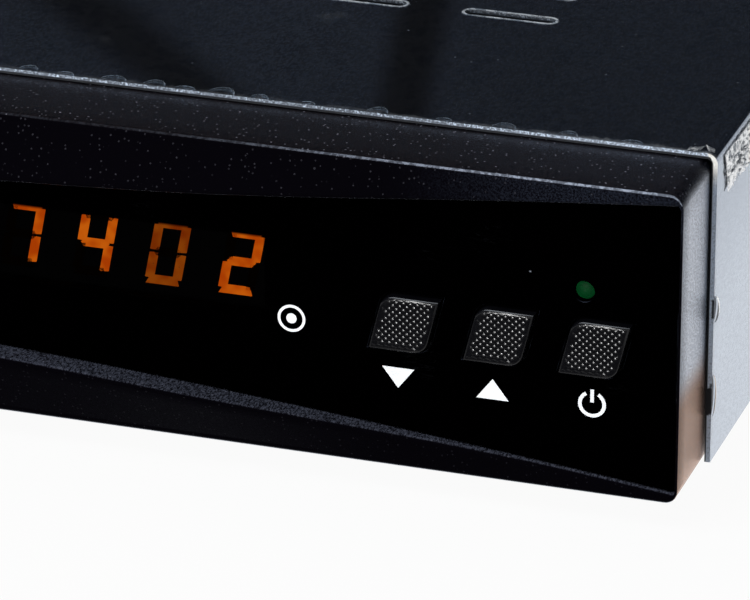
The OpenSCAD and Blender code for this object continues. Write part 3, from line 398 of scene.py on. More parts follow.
def cut_edge():
    f = Finish("cut zinc edge")
    grit = f.noise(0.3, detail=3, roughness=0.7)
    streak = f.noise(1.4, detail=2)
    over_x = (abs(f.axis("X")) - (COVER_HALF - BEND_R)).most(0)
    over_z = (f.axis("Z") - (COVER_TOP - BEND_R)).most(0)
    deep = BEND_R - (over_x*over_x + over_z*over_z)**0.5
    beside = f.axis("X").ramp(HALF_W, HALF_W + 0.1)
    # The innermost part of each cut face is painted dark, as painted shadow of the gap behind it.
    clear_of_painted_shadow = (deep + 0.3*grit - 0.14*beside).ramp(0.68, 0.54)
    rounded = (over_x*over_z).ramp(0.0, 0.3).most(beside*f.axis("Z").ramp(COVER_TOP - 5.5, COVER_TOP - 2.5))
    # Bright flecks on the cut are painted glints.
    painted_glints = grit.ramp(0.5, 0.64)*(0.25 + 0.75*streak.ramp(0.35, 0.6))
    bright = 0.14 + 0.2*grit.ramp(0.4, 0.6) + 0.8*painted_glints + beside*(0.2 + 0.6*grit.ramp(0.42, 0.58))
    # Cut faces inside the slots are painted darker, as painted shade.
    inside = f.axis("Y").ramp(COVER_FRONT + 2, COVER_FRONT + 3)
    bright = (bright*(1 + f.axis("X").ramp(85, 125))*(1 - 0.6*inside)).most(0.85*rounded)
    # A stretch of the cut edge low on the right-hand side is dark.
    dark_stretch = (abs(f.axis("Z") - DARK_STRETCH_Z) + 3*(streak - 0.5)).ramp(DARK_STRETCH_HALF, DARK_STRETCH_HALF - 0.6)
    bubble = abs(f.axis("Z") - SIDE_BUBBLE_Z).ramp(1.7, 1.2)*deep.ramp(0.45, 0.2)
    gone = beside*dark_stretch.most(bubble)
    light = f.mix(rounded, rgb(214, 226, 242), rgb(244, 240, 232))
    colour = f.mix((bright*clear_of_painted_shadow*(1 - gone)).least(1), rgb(12, 15, 21), light)
    return f.done(f.surface(colour, 0.6, {"Metallic": 0.2, "Normal": f.relief(grit, 0.08)}))


def section_depth(x, z):
    """How deep a point of the cover's section lies under its outer face, in millimetres."""
    over_x = abs(x) - (COVER_HALF - BEND_R)
    over_z = z - (COVER_TOP - BEND_R)
    if over_x > 0 and over_z > 0:
        return BEND_R - math.hypot(over_x, over_z)
    return BEND_R - max(over_x, over_z)


def build_cover():
    bm = solid_of("top_cover")
    cut_faces = 0
    for face in bm.faces:
        middle = face.calc_center_median()
        depth = section_depth(middle.x, middle.z)
        sheared = abs(face.normal.y) > 0.9 or CUT_MARGIN < depth < SHEET - CUT_MARGIN
        face.material_index = int(sheared)
        cut_faces += sheared
    print("cover:", len(bm.faces), "faces, of which", cut_faces, "are cut edges")
    finishes = [cover_paint(), cut_edge()]
    return make_piece(bm, "cover", finishes, "case", "top_cover", "cover_paint", outward=False, folded=True)


build_cover()

# %% [markdown]
# ## The delivery film
#
# A clear film was laid on the sheet before it was punched. It can't be seen where it lies flat, only where
# something disturbs it: a pale ring round each slot, where the punch dragged it, a ragged front edge and a
# whitened, wrinkled stretch along the right-hand bend, where it began to peel. The film is a copy of the CAD
# solid with an alpha that follows those places. The rings come from the slots' own pitch: each point
# is measured from the nearest slot of the pattern, so one formula draws all of them.

# %% Film finish
FILM_T, FILM_LIFT, ON_SHEET = 0.1, 0.03, 0.02
SLOT_L, SLOT_W, SLOT_PITCH = 13.5, 2.2, 22.3
FIRST_ROW, ROW_PITCH, TOP_ROWS, SLOTS_ACROSS = 55.3, 10, 7, 4
SIDE_ROW, SIDE_ROWS, SIDE_SLOTS = 20, 2, 5


def nearest(value, first, pitch, count):
    """How far a value lies from the nearest of count marks, the first at first."""
    index = round((value - first)/pitch)
    return value - first - index.most(0).least(count - 1)*pitch


def from_slot(along, across):
    """Distance from a slot's edge, given the distances from its centre along and across it."""
    past = (abs(along) - (SLOT_L - SLOT_W)/2).most(0)
    return (past*past + across*across)**0.5 - SLOT_W/2


def slot_rings(f):
    """1 in a narrow ring round every slot."""
    x, y, z = f.axis("X"), f.axis("Y"), f.axis("Z")
    across = nearest(y, FIRST_ROW, ROW_PITCH, TOP_ROWS)
    along = nearest(x, -SLOTS_ACROSS*SLOT_PITCH, SLOT_PITCH, 2*SLOTS_ACROSS + 1)
    top = from_slot(along, across) + 99*z.ramp(BODY_H, BODY_H - 0.1)
    along = nearest(y, FIRST_ROW, SLOT_PITCH, SIDE_SLOTS)
    side = from_slot(along, nearest(z, SIDE_ROW, ROW_PITCH, SIDE_ROWS)) + 99*abs(x).ramp(HALF_W, HALF_W - 0.1)
    edge = top.least(side)
    return edge.ramp(0.5, 0.25)*(0.4 + 0.6*f.noise(1.2, detail=3).ramp(0.35, 0.6))


def film():
    f = Finish("clear delivery film")
    rings = slot_rings(f)
    x, y, z = f.axis("X"), f.axis("Y"), f.axis("Z")
    ragged = f.noise(2.2, detail=4, roughness=0.7)
    crease = abs(f.noise(3.4, detail=5, roughness=0.65) - 0.5)
    front = (y + 3.2*ragged).ramp(COVER_FRONT + 2.6, COVER_FRONT + 1.2)*(0.6 + 0.9*x.ramp(95, 112))
    scuff = f.noise(9, detail=3).ramp(0.66, 0.85)
    alpha = (0.002 + 0.36*rings + front*(0.06 + 0.45*ragged.ramp(0.55, 0.7)) + 0.01*scuff).least(1)
    colour = f.mix(crease.ramp(0.0, 0.12), rgb(235, 240, 244), rgb(150, 162, 174))
    normal = f.relief(ragged, 0.15)
    return f.done(f.surface(colour, 0.3, {"Alpha": alpha, "Normal": normal}))


def build_film():
    """The CAD film with its inner side a hair off the sheet, so that the two never share a surface."""
    bm = solid_of("protective_film")
    for vert in bm.verts:
        over_x = abs(vert.co.x) - (COVER_HALF - BEND_R)
        over_z = vert.co.z - (COVER_TOP - BEND_R)
        if abs(section_depth(vert.co.x, vert.co.z)) < ON_SHEET:
            way = Vector((max(over_x, 0)*math.copysign(1, vert.co.x), 0, max(over_z, 0)))
            vert.co += way.normalized()*FILM_LIFT
    return make_piece(bm, "film", film(), "case", "protective_film", "clear_film", outward=False, folded=True)


film_piece = build_film()
print("film:", len(film_piece.data.polygons), "faces")

# %% [markdown]
# ## Bezel plastic
#
# The bezel is moulded in black plastic with a spark-eroded grain: fine, even pits that scatter the light. Its
# gloss shows only at a flat angle. Fine brownish dust settles on the faces that look up, so its share comes
# from the surface's normal; on the ledge under the window that share turns bluish and paler, a painted light.
# A thin painted highlight runs along the rim's edge, the right end of the upper slope is paler, low on the
# sides the gloss carries a warm painted reflection, and a scatter of pale specks in two sizes lies over all
# of it.

# %% Bezel finish
def bezel_plastic():
    f = Finish("grained black plastic")
    grain = f.noise(0.26, detail=3, roughness=0.75, stretch=(1, 0.4, 1)).ramp(0.38, 0.64)
    cloud = f.noise(14, detail=2)
    height = f.looking("Z")
    facing = abs(f.looking("Y"))
    # A thin highlight is painted along the rim's edge; the polished mask below carries it into the colour.
    painted_highlight_band = facing.ramp(0.31, 0.44)*facing.ramp(0.78, 0.66)*height.ramp(-0.1, 0.05)
    painted_highlight_band = painted_highlight_band*f.axis("Z").ramp(39.5, 41.5)*(0.04 + 0.96*f.axis("X").ramp(52, 120))
    polished = painted_highlight_band*(0.35 + 0.65*f.noise(0.6, detail=3).ramp(0.42, 0.6))
    specks = (0.5*f.specks(0.7, 0.15, 0.08)).most(0.6*f.specks(4.2, 0.035, 0.02))
    specks = specks*(0.18 + 0.82*height.ramp(0.5, 0.95))*(0.35 + 0.65*f.axis("Z").ramp(8, 20))
    # dust is brownish dust on faces that look up; below the window its bluish, paler colour is painted light
    # on the ledge.
    dust = height.ramp(0.5, 0.95)*(0.04 + 0.96*grain)*(0.7 + 0.5*cloud)
    colour = f.mix(f.axis("Z").ramp(26, 16), rgb(22, 18, 20), rgb(68, 70, 80))
    # The upper slope is paler towards its right end.
    paler_right_slope = 0.7*f.axis("X").ramp(88, 118)*f.axis("Z").ramp(37, 41)*grain
    colour = f.mix(dust.least(1), f.mix(paler_right_slope, rgb(5, 4, 7), rgb(38, 42, 52)), colour)
    colour = f.mix(polished, colour, rgb(150, 156, 170))
    colour = f.mix(specks*(0.4 + 0.6*grain), colour, rgb(150, 148, 158))
    normal = f.relief(grain, 0.02)
    plastic = f.surface(colour, 0.5 + 0.15*grain, {"Normal": normal, "Specular IOR Level": 0.0})
    # Low on the sides the gloss is tinted warm: a painted reflection.
    painted_warm_reflection = f.axis("Z").ramp(19, 13)*abs(f.axis("X")).ramp(HALF_W - 1, HALF_W)
    tint = f.mix(painted_warm_reflection, rgb(232, 240, 254), rgb(192, 148, 120))
    tint = f.mix(0.5*grain, tint, rgb(120, 118, 122))
    return f.done(f.glossed(plastic, 8, 5.9, 0.26, normal, tint))


BEZEL = bezel_plastic()
print(BEZEL.name, "has", len(BEZEL.node_tree.nodes), "nodes")

# %% [markdown]
# ## The bezel's ring
#
# The bezel is one ring: walls that run back over the case, a rounded rim, and two bands that swell forward in
# the middle and end in a rounded lip, from which a ledge runs back to the window. It could be sculpted, but a
# moulded form is really a section that changes along its path. So a grid is bent round: each of its columns
# is one point of the outline and each of its rows one step of the section.

# %% Outlines of the front
TOP_BAND = (1.4, 9.9)
LOW_BAND = (1.7, 11.2)
BULGE = (0.1, 3.3)
BULGE_RANGE = (15, 75)
WALL = 2
CORNER_R = 2
RIM_R = 0.9
RIM_SIDE_R = 0.2
SIDE_STRIP = 0.3
LIP_R = 0.45
LIP_CORNER = 0.3
LEDGE_BACK = 1.9
PANEL_BACK = 3.9
BACK_CHAMFER, INNER_R, INNER_BACK_R = 0.3, 0.4, 0.6
WALL_STEPS, TURN_STEPS = 6, 5
LONG, SHORT, ROUND = 104, 14, 6


def band(x, sizes):
    """Height of a band at x, which falls from the middle to the ends."""
    end, middle = sizes
    return end + (middle - end)*(1 - (abs(x)/HALF_W)**1.5)


def forward(x):
    """How far the bands stand in front of the rim at x."""
    t = (HALF_W - abs(x) - BULGE_RANGE[0])/(BULGE_RANGE[1] - BULGE_RANGE[0])
    t = min(max(t, 0), 1)
    return BULGE[0] + (BULGE[1] - BULGE[0])*t*t*(3 - 2*t)


def outline(half, top, low, radius):
    """Points round the front, clockwise from the upper left. top and low give the edges' heights at x."""
    flat = half - radius
    high, deep = top(flat) - radius, low(flat) + radius
    upper = [(x, top(x)) for x in (flat*(2*i/LONG - 1) for i in range(LONG + 1))]
    lower = [(x, low(x)) for x in (flat*(1 - 2*i/LONG) for i in range(LONG + 1))]
    turn = [math.radians(90*i/ROUND) for i in range(1, ROUND)]
    sides = [high + (deep - high)*i/SHORT for i in range(SHORT + 1)]
    points = list(upper)
    points += [(flat + radius*math.sin(a), high + radius*math.cos(a)) for a in turn]
    points += [(half, z) for z in sides]
    points += [(flat + radius*math.cos(a), deep - radius*math.sin(a)) for a in turn]
    points += lower
    points += [(-flat - radius*math.sin(a), deep - radius*math.cos(a)) for a in turn]
    points += [(-half, z) for z in reversed(sides)]
    points += [(-flat - radius*math.cos(a), high + radius*math.sin(a)) for a in turn]
    return points


def box_outline(inset, radius, inset_x=None):
    """The bezel's outer outline, drawn in by an inset."""
    half = HALF_W - (inset if inset_x is None else inset_x)
    return outline(half, lambda x: BODY_H - inset, lambda x: inset, radius)


def opening_outline(gap):
    """The window opening's outline, drawn in by a gap."""
    half = HALF_W - SIDE_STRIP - gap
    return outline(half, lambda x: BODY_H - band(x, TOP_BAND) - gap, lambda x: band(x, LOW_BAND) + gap,
                   LIP_CORNER - gap)


def turned_sideways():
    """For each point of an outline: 0 above and below the window, 1 beside it, shares round the corners."""
    turn = [i/ROUND for i in range(1, ROUND)]
    half_way = [0]*(LONG + 1) + turn + [1]*(SHORT + 1) + turn[::-1]
    return half_way*2


print("window opening:", len(opening_outline(0)), "points round it")


# %% Bend a grid round the front
def at_depth(points, y):
    return [Vector((x, y(x, z) if callable(y) else y, z)) for x, z in points]


def rim_row(angle):
    """A row on the rim's rounding, which is tighter beside the window than above and below it."""
    gone, left = 1 - math.cos(angle), 1 - math.sin(angle)
    points = box_outline(RIM_R*gone, CORNER_R - 0.6*RIM_R*gone, RIM_SIDE_R*gone)
    depths = [left*(RIM_R + (RIM_SIDE_R - RIM_R)*share) for share in turned_sideways()]
    return [Vector((x, y, z)) for (x, z), y in zip(points, depths)]


def bezel_rows():
    """The section's rows, from the inner wall round the back, the rim and the lip to the panel."""
    chamfer_y = BEZEL_D - BACK_CHAMFER
    rows = [at_depth(box_outline(WALL, INNER_R), PANEL_BACK),
            at_depth(box_outline(WALL, INNER_R), chamfer_y),
            at_depth(box_outline(WALL - BACK_CHAMFER, INNER_BACK_R), BEZEL_D),
            at_depth(box_outline(BACK_CHAMFER, CORNER_R - BACK_CHAMFER), BEZEL_D),
            at_depth(box_outline(0, CORNER_R), chamfer_y)]
    for i in range(1, WALL_STEPS):
        y = chamfer_y + (RIM_R - BEZEL_D + BACK_CHAMFER)*i/WALL_STEPS
        rows.append(at_depth(box_outline(0, CORNER_R), y))
    rows += [rim_row(math.radians(90*i/TURN_STEPS)) for i in range(TURN_STEPS + 1)]
    rim, lip = rows[-1], at_depth(opening_outline(-LIP_R), lambda x, z: -forward(x))
    for share in (0.04, 0.25, 0.5, 0.75, 0.94):
        rows.append([a.lerp(b, share) for a, b in zip(rim, lip)])
    for i in range(1, TURN_STEPS + 1):
        a = math.radians(90*i/TURN_STEPS)
        edge = opening_outline(-LIP_R*(1 - math.sin(a)))
        rows.append(at_depth(edge, lambda x, z: min(-forward(x) + LIP_R*(1 - math.cos(a)), LEDGE_BACK)))
    rows.append(at_depth(opening_outline(0), LEDGE_BACK))
    rows.append(at_depth(opening_outline(0), PANEL_BACK))
    return rows


def bent_grid(rows):
    """A grid whose columns run round an outline and whose rows follow a section, closed both ways."""
    bm = bmesh.new()
    across, along = len(rows[0]), len(rows)
    bmesh.ops.create_grid(bm, x_segments=across, y_segments=along, size=0.5)
    for vert in bm.verts:
        i = round((vert.co.x + 0.5)*across) % across
        j = round((vert.co.y + 0.5)*along) % along
        vert.co = rows[j][i]
    return bm


def build_ring():
    bm = bent_grid(bezel_rows())
    print("bezel ring:", len(bm.faces), "faces")
    return make_piece(bm, "bezel_ring", BEZEL, "case", "front_bezel", "bezel_plastic", sharp=50)


build_ring()

# %% [markdown]
# ## Flat plates with holes
#
# The wall behind the window and the window itself are flat plates with the same outline and much the same
# holes: three leaning squares for the buttons and a round one for the lamp. The wall has two more, for the
# display and for the eye of the remote control. The outline and the holes are
# drawn as loops of edges, triangle_fill finds the sheet between them, and an extrude gives it thickness. The
# leaning squares have two round corners each, so a square's corners are trimmed by arcs.

# %% Outlines of the holes
BUTTON_W, BUTTON_H, BUTTON_LEAN, BUTTON_R = 8.1, 8, 2, 2.2
BUTTON_PITCH, BUTTON_END, BUTTON_Z = 13.4, 11.7, 21.6
BUTTON_GAP, BUTTON_PROUD, WINDOW_BACK, WINDOW_GAP = 0.35, 1.1, 0.4, 0.15
BUTTON_X = [HALF_W - BUTTON_END - i*BUTTON_PITCH for i in (2, 1, 0)]
BUTTON_NAMES = ["channel_down", "channel_up", "power"]
LAMP_X, LAMP_Z, LAMP_R = HALF_W - 13.5, 29.5, 1.4
DISPLAY_X, DISPLAY_Z, DISPLAY_W, DISPLAY_H = HALF_W - 79.5, 25.5, 42.8, 13
DISPLAY_ROOM = 1.2
EYE_X, EYE_R = 15.1, 3


def rounded_corner(before, corner, after, radius, steps=7):
    """Points of the arc that rounds a corner between two straight edges."""
    u = (before - corner).normalized()
    v = (after - corner).normalized()
    half = u.angle(v)/2
    centre = corner + (u + v).normalized()*radius/math.sin(half)
    first = (corner + u*radius/math.tan(half) - centre).normalized()
    last = (corner + v*radius/math.tan(half) - centre).normalized()
    return [centre + first.slerp(last, i/(steps - 1))*radius for i in range(steps)]


def leaning_square(x, z, grow=0):
    """A button's outline: a leaning square whose upper left and lower right corners are round."""
    w, h = BUTTON_W/2 + grow, BUTTON_H/2 + grow
    lean = BUTTON_LEAN*h/BUTTON_H
    a, b, c, d = [Vector(p) for p in ((-w - lean, -h), (w - lean, -h), (w + lean, h), (-w + lean, h))]
    radius = BUTTON_R + grow
    points = [a, *rounded_corner(a, b, c, radius), c, *rounded_corner(c, d, a, radius)]
    return [(x + p.x, z + p.y) for p in points]


def disc_outline(x, z, radius, steps=32):
    turns = [2*math.pi*i/steps for i in range(steps)]
    return [(x + radius*math.cos(a), z + radius*math.sin(a)) for a in turns]


def rectangle(x, z, w, h):
    return [(x - w/2, z - h/2), (x + w/2, z - h/2), (x + w/2, z + h/2), (x - w/2, z + h/2)]


print("buttons at", [round(x, 1) for x in BUTTON_X], "mm from the middle")


# %% Fill and thicken a plate
def draw_loop(bm, points, y):
    """A closed loop of edges through (x, z) points at one depth."""
    verts = [bm.verts.new((x, y, z)) for x, z in points]
    return [bm.edges.new(pair) for pair in zip(verts, verts[1:] + verts[:1])]


def thicken(bm, faces, depth):
    """Extrudes flat faces straight back by a depth."""
    extruded = bmesh.ops.extrude_face_region(bm, geom=faces)["geom"]
    moved = [item for item in extruded if isinstance(item, bmesh.types.BMVert)]
    bmesh.ops.translate(bm, verts=moved, vec=(0, depth, 0))


def plate(loops, y, thickness, edge=0):
    """A plate between an outer loop and its holes, with its front edges bevelled."""
    bm = bmesh.new()
    edges = [e for points in loops for e in draw_loop(bm, points, y)]
    faces = bmesh.ops.triangle_fill(bm, use_beauty=True, use_dissolve=False, edges=edges)["geom"]
    faces = [item for item in faces if isinstance(item, bmesh.types.BMFace)]
    thicken(bm, faces, thickness)
    bmesh.ops.recalc_face_normals(bm, faces=bm.faces)
    if edge:
        rim = [e for e in bm.edges if abs(e.verts[0].co.y - y) + abs(e.verts[1].co.y - y) < 1e-6
               and len(e.link_faces) == 2 and e.calc_face_angle() > 1]
        bmesh.ops.bevel(bm, geom=rim, offset=edge, segments=2, profile=0.5, affect="EDGES", material=-1)
    return bm


def front_holes(grow):
    squares = [leaning_square(x, BUTTON_Z, BUTTON_GAP) for x in BUTTON_X]
    return squares + [disc_outline(LAMP_X, LAMP_Z, LAMP_R + grow)]


panel_loops = [opening_outline(-0.02), *front_holes(0.2),
               rectangle(DISPLAY_X, DISPLAY_Z, DISPLAY_W + DISPLAY_ROOM, DISPLAY_H + DISPLAY_ROOM),
               disc_outline(EYE_X, DISPLAY_Z, EYE_R)]
panel = make_piece(plate(panel_loops, LEDGE_BACK, PANEL_BACK - LEDGE_BACK), "bezel_panel", BEZEL,
                   slot="bezel_plastic")
print("panel:", len(panel.data.polygons), "faces and", len(panel_loops) - 1, "holes")

# %% [markdown]
# ## Screw bosses
#
# Four long bosses take the screws that hold the bezel on the tray, and four short ones carry the display
# board. They are plain tubes behind the panel: a cone with equal ends, hollowed by an inset and an extrude.

# %% Bosses
BOSS_X, BOSS_Z = HALF_W - 12, 4.8
BOSS_R, BOSS_BORE, BOSS_DEEP = 3, 1.25, 9
BOARD_Y, BOARD_X, BOARD_Z = 12.5, (10.1, 120), (13, 32)
POST_R, POST_BORE, POST_DEEP = 2.5, 1, 6
ROOT = 0.5


def tube(bm, x, z, radius, bore, y0, y1, bore_depth):
    """A round post along y with a blind bore from its rear end."""
    length = y1 - y0
    spot = Matrix.Translation((x, (y0 + y1)/2, z)) @ Matrix.Rotation(math.radians(-90), 4, "X")
    made = bmesh.ops.create_cone(bm, cap_ends=True, segments=28, radius1=radius, radius2=radius, depth=length,
                                 matrix=spot)
    caps = {f for v in made["verts"] for f in v.link_faces if len(f.verts) > 4 and v.co.y > y1 - 0.01}
    cap = [f for f in caps if f.calc_center_median().y > y1 - 0.01]
    bmesh.ops.inset_region(bm, faces=cap, thickness=radius - bore)
    pushed = bmesh.ops.extrude_discrete_faces(bm, faces=cap)["faces"]
    bmesh.ops.translate(bm, verts=list({v for f in pushed for v in f.verts}), vec=(0, -bore_depth, 0))


def build_bosses():
    bm = bmesh.new()
    for x in (-BOSS_X, BOSS_X):
        for z in (BOSS_Z, BODY_H - BOSS_Z):
            tube(bm, x, z, BOSS_R, BOSS_BORE, PANEL_BACK - ROOT, BEZEL_D, BOSS_DEEP)
    for x in BOARD_X:
        for z in BOARD_Z:
            tube(bm, x, z, POST_R, POST_BORE, PANEL_BACK - ROOT, BOARD_Y, POST_DEEP)
    return make_piece(bm, "bezel_bosses", BEZEL, slot="bezel_plastic")


bosses = build_bosses()
print("bosses:", len(bosses.data.polygons), "faces")

# %% [markdown]
# ## The window
#
# The window is cast plastic, black right through except over the display, where it is smoked. It is polished,
# so it has almost no colour of its own: only hairline scratches and a little dust give it a surface. Its
# specular level is nought, so that it stays as black as polished glass over a dark room. The clear part is an
# alpha that follows the display's outline. The rounded edges of its holes are painted a little paler than its
# face, as a painted highlight.

# %% Window
def window_plastic():
    f = Finish("polished black window")
    hair = abs(f.noise(5, detail=2, stretch=(1, 1, 9)) - 0.5)
    scratches = hair.ramp(0.004, 0.0)*f.noise(11, detail=2).ramp(0.62, 0.8)
    dust = f.specks(6.5, 0.018, 0.01)
    marks = (0.04*scratches + 0.5*dust).least(1)
    colour = f.mix(marks, rgb(0.3, 0.2, 0.3), rgb(150, 155, 165))
    # The rounded edges of the holes are painted paler, as a painted highlight.
    rounded = abs(f.looking("Y")).ramp(0.95, 0.8)*f.axis("Y").ramp(WINDOW_BACK + 0.3, WINDOW_BACK + 0.2)
    rounded = rounded*abs(f.axis("Z") - BUTTON_Z).ramp(7, 6)*f.noise(2.6, detail=3).ramp(0.35, 0.65)
    colour = f.mix(rounded, colour, rgb(52, 56, 66))
    off_x = abs(f.axis("X") - DISPLAY_X).ramp(DISPLAY_W/2 - 0.3, DISPLAY_W/2 - 0.8)
    off_z = abs(f.axis("Z") - DISPLAY_Z).ramp(DISPLAY_H/2 - 0.3, DISPLAY_H/2 - 0.8)
    alpha = 1 - 0.55*(off_x*off_z)
    roughness = 0.08 + 0.25*marks
    return f.done(f.surface(colour, roughness, {"Alpha": alpha, "Specular IOR Level": 0.0}))


window_loops = [opening_outline(WINDOW_GAP), *front_holes(0.1)]
window = make_piece(plate(window_loops, WINDOW_BACK, LEDGE_BACK - WINDOW_BACK, 0.15), "window",
                    window_plastic(), "case", "front_window", "window_plastic")
print("window:", len(window.data.polygons), "faces")

# %% [markdown]
# ## The display
#
# Four seven-segment digits lie behind the smoked plastic. Each digit is the same seven bars, so a digit is
# drawn from a table of which bars are lit. Lit bars glow orange, a little unevenly, the third digit is
# fainter, and the bars that are off get a faint painted glow, so they are just visible as dark orange.

# %% Display bars
DIGIT_H, DIGIT_W, DIGIT_PITCH, SEGMENT_W, DIGIT_LEAN = 9.8, 5.3, 10.7, 1.3, 11
DISPLAY_FACE, BAR_T = 4.6, 0.15
LIT_BARS = {"7": "abc", "4": "bcfg", "0": "abcdef", "2": "abdeg"}
SHOWN, FAINT_DIGIT = "7402", 2


def bar_outline(name):
    """A bar of a digit as (x, z) points about the digit's centre, its outer corners trimmed."""
    reach_x, reach_z = (DIGIT_W - SEGMENT_W)/2, (DIGIT_H - SEGMENT_W)/2
    w, trim = SEGMENT_W/2, 0.55
    if name in "adg":
        z, side = {"a": (reach_z, 1), "d": (-reach_z, -1), "g": (0, 0)}[name]
        half = DIGIT_W/2 - SEGMENT_W/2 - 0.12
        points = [(-half - trim*abs(side), side*w if side else 0), (-half, -w*(side or 1)),
                  (half, -w*(side or 1)), (half + trim*abs(side), side*w if side else 0)]
        if side:
            return [(x, z + p) for x, p in points]
        short, long = half - 0.3, half + 0.2
        return [(-long, 0), (-short, -w), (short, -w), (long, 0), (short, w), (-short, w)]
    right = name in "bc"
    upper = name in "bf"
    half = reach_z/2 - 0.16
    middle = reach_z/2 if upper else -reach_z/2
    outer = [(w, -half + 0.1), (w, half - 0.1), (-w, half), (-w, -half)]
    points = outer if right else [(-x, z) for x, z in outer]
    x0 = reach_x if right else -reach_x
    return [(x0 + x, middle + z) for x, z in points]


def build_bars(name, chosen, finish):
    """One piece with every (digit, bar) of chosen, each a thin plate with its edges softened."""
    bm = bmesh.new()
    lean = math.tan(math.radians(DIGIT_LEAN))
    for digit, bar in chosen:
        x0 = DISPLAY_X + (digit - 1.5)*DIGIT_PITCH
        points = [(x0 + x + lean*z, DISPLAY_Z + z) for x, z in bar_outline(bar)]
        face = bmesh.ops.contextual_create(bm, geom=draw_loop(bm, points, DISPLAY_FACE - BAR_T))["faces"]
        thicken(bm, face, BAR_T)
    return make_piece(bm, name, finish, slot="display_light")


def bar_light(name, level, glow):
    f = Finish(name)
    uneven = f.noise(2.4, detail=1)
    hot, edge = rgb(*[min(255, c*level) for c in (250, 118, 18)]), rgb(*[c*level for c in (214, 78, 4)])
    colour = f.mix(uneven.ramp(0.3, 0.7), edge, hot)
    sockets = {"Emission Color": colour, "Emission Strength": glow, "Specular IOR Level": 0.0}
    return f.done(f.surface(rgb(3, 1, 1), 0.4, sockets))


ALL_BARS = [(i, bar) for i in range(4) for bar in "abcdefg"]
LIT = [(i, bar) for i, bar in ALL_BARS if bar in LIT_BARS[SHOWN[i]]]
GLOW_BRIGHT = bar_light("lit display bars", 1.0, 1.8)
GLOW_FAINT = bar_light("faint display bars", 0.72, 1.6)
# Bars that are off get a faint painted glow.
GLOW_OFF = bar_light("display bars that are off", 0.07, 0.3)
lit_bars = build_bars("display_lit_bars", [spot for spot in LIT if spot[0] != FAINT_DIGIT], GLOW_BRIGHT)
build_bars("display_faint_bars", [spot for spot in LIT if spot[0] == FAINT_DIGIT], GLOW_FAINT)
build_bars("display_off_bars", [spot for spot in ALL_BARS if spot not in LIT], GLOW_OFF)
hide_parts("display_segments")
print("display:", len(LIT), "bars lit of", len(ALL_BARS))

# %% [markdown]
# ## Three knurled buttons
#
# Each button is a leaning cap that stands out of the window, with a soft edge and a face full of tiny
# pyramids for grip. Modelling each pyramid by hand would be slow. Instead the face is sliced by two families
# of planes at 45 degrees, which leaves a net of diamonds, and poke raises the middle of each diamond. Behind
# the window the cap has a wider flange that stops it, and a stem that reaches its switch.

# %% Button caps
KNURL_PITCH, KNURL_SLOPE, WHOLE_SHARE, CAP_SOFT = 0.707, 0.4, 0.15, 0.4
CUTS_EACH_WAY = 9
FLANGE_Y, FLANGE_T, FLANGE_GROW, STEM_R, STEM_END = 4.2, 1.2, 1, 1.8, 8.2


def soft_cap(x, z):
    """The cap's closed body, with its front edge rounded over."""
    bm = bmesh.new()
    front = WINDOW_BACK - BUTTON_PROUD
    face = bmesh.ops.contextual_create(bm, geom=draw_loop(bm, leaning_square(x, z), front))["faces"]
    thicken(bm, face, FLANGE_Y + FLANGE_T/2 - front)
    bmesh.ops.recalc_face_normals(bm, faces=bm.faces)
    rim = [e for e in bm.edges if max(v.co.y for v in e.verts) < front + 0.001]
    bmesh.ops.bevel(bm, geom=rim, offset=CAP_SOFT, segments=4, profile=0.5, affect="EDGES", material=-1)
    return bm


def knurl(bm, x, z):
    """Slices the cap's front face into diamonds and raises each into a pyramid."""
    face = min(bm.faces, key=lambda f: f.calc_center_median().y + (0 if len(f.verts) > 4 else 9))
    front = face.calc_center_median().y
    region = [face]
    for slope in (1, -1):
        normal = Vector((1, 0, slope)).normalized()
        for i in range(-CUTS_EACH_WAY, CUTS_EACH_WAY + 1):
            through = Vector((x, front, z)) + normal*KNURL_PITCH*(i + 0.5)
            edges = {e for f in region for e in f.edges}
            verts = {v for f in region for v in f.verts}
            parts = region + list(edges) + list(verts)
            bmesh.ops.bisect_plane(bm, geom=parts, dist=1e-4, plane_co=through, plane_no=normal)
            region = [f for f in bm.faces if abs(f.calc_center_median().y - front) < 1e-5]
    whole = [f for f in region if f.calc_area() > WHOLE_SHARE*KNURL_PITCH**2]
    bmesh.ops.poke(bm, faces=whole, offset=KNURL_SLOPE, use_relative_offset=True)
    return len(whole)


def build_button(index):
    x, z, name = BUTTON_X[index], BUTTON_Z, BUTTON_NAMES[index]
    bm = soft_cap(x, z)
    count = knurl(bm, x, z)
    flange = draw_loop(bm, leaning_square(x, z, FLANGE_GROW), FLANGE_Y)
    thicken(bm, bmesh.ops.contextual_create(bm, geom=flange)["faces"], FLANGE_T)
    spot = Matrix.Translation((x, (FLANGE_Y + STEM_END)/2, z)) @ Matrix.Rotation(math.radians(90), 4, "X")
    bmesh.ops.create_cone(bm, cap_ends=True, segments=28, radius1=STEM_R, radius2=STEM_R,
                          depth=STEM_END - FLANGE_Y, matrix=spot)
    print(name, "button:", count, "pyramids")
    return make_piece(bm, name + "_cap", BUTTON, BODY_OF[name + "_button"], name + "_button",
                      "button_plastic", sharp=45)


# %% Button finish
def button_plastic():
    f = Finish("knurled button plastic")
    grain = f.noise(0.3, detail=2)
    worn = f.noise(3.5, detail=2)
    colour = f.mix(worn, rgb(4, 4, 6), rgb(9, 9, 12))
    normal = f.relief(grain, 0.003)
    sockets = {"Normal": normal, "Specular IOR Level": 0.32}
    return f.done(f.surface(colour, 0.19 + 0.05*worn, sockets))


BUTTON = button_plastic()
for index in range(len(BUTTON_NAMES)):
    build_button(index)

# %% [markdown]
# ## The status lamp
#
# A green plastic light pipe ends flush behind a small hole in the window. It is off, so it is a dark green
# disc with a slightly lighter rim, where light runs round its edge. Its CAD solid has the right form, so it
# is dressed: merged, and rounded at its edges.

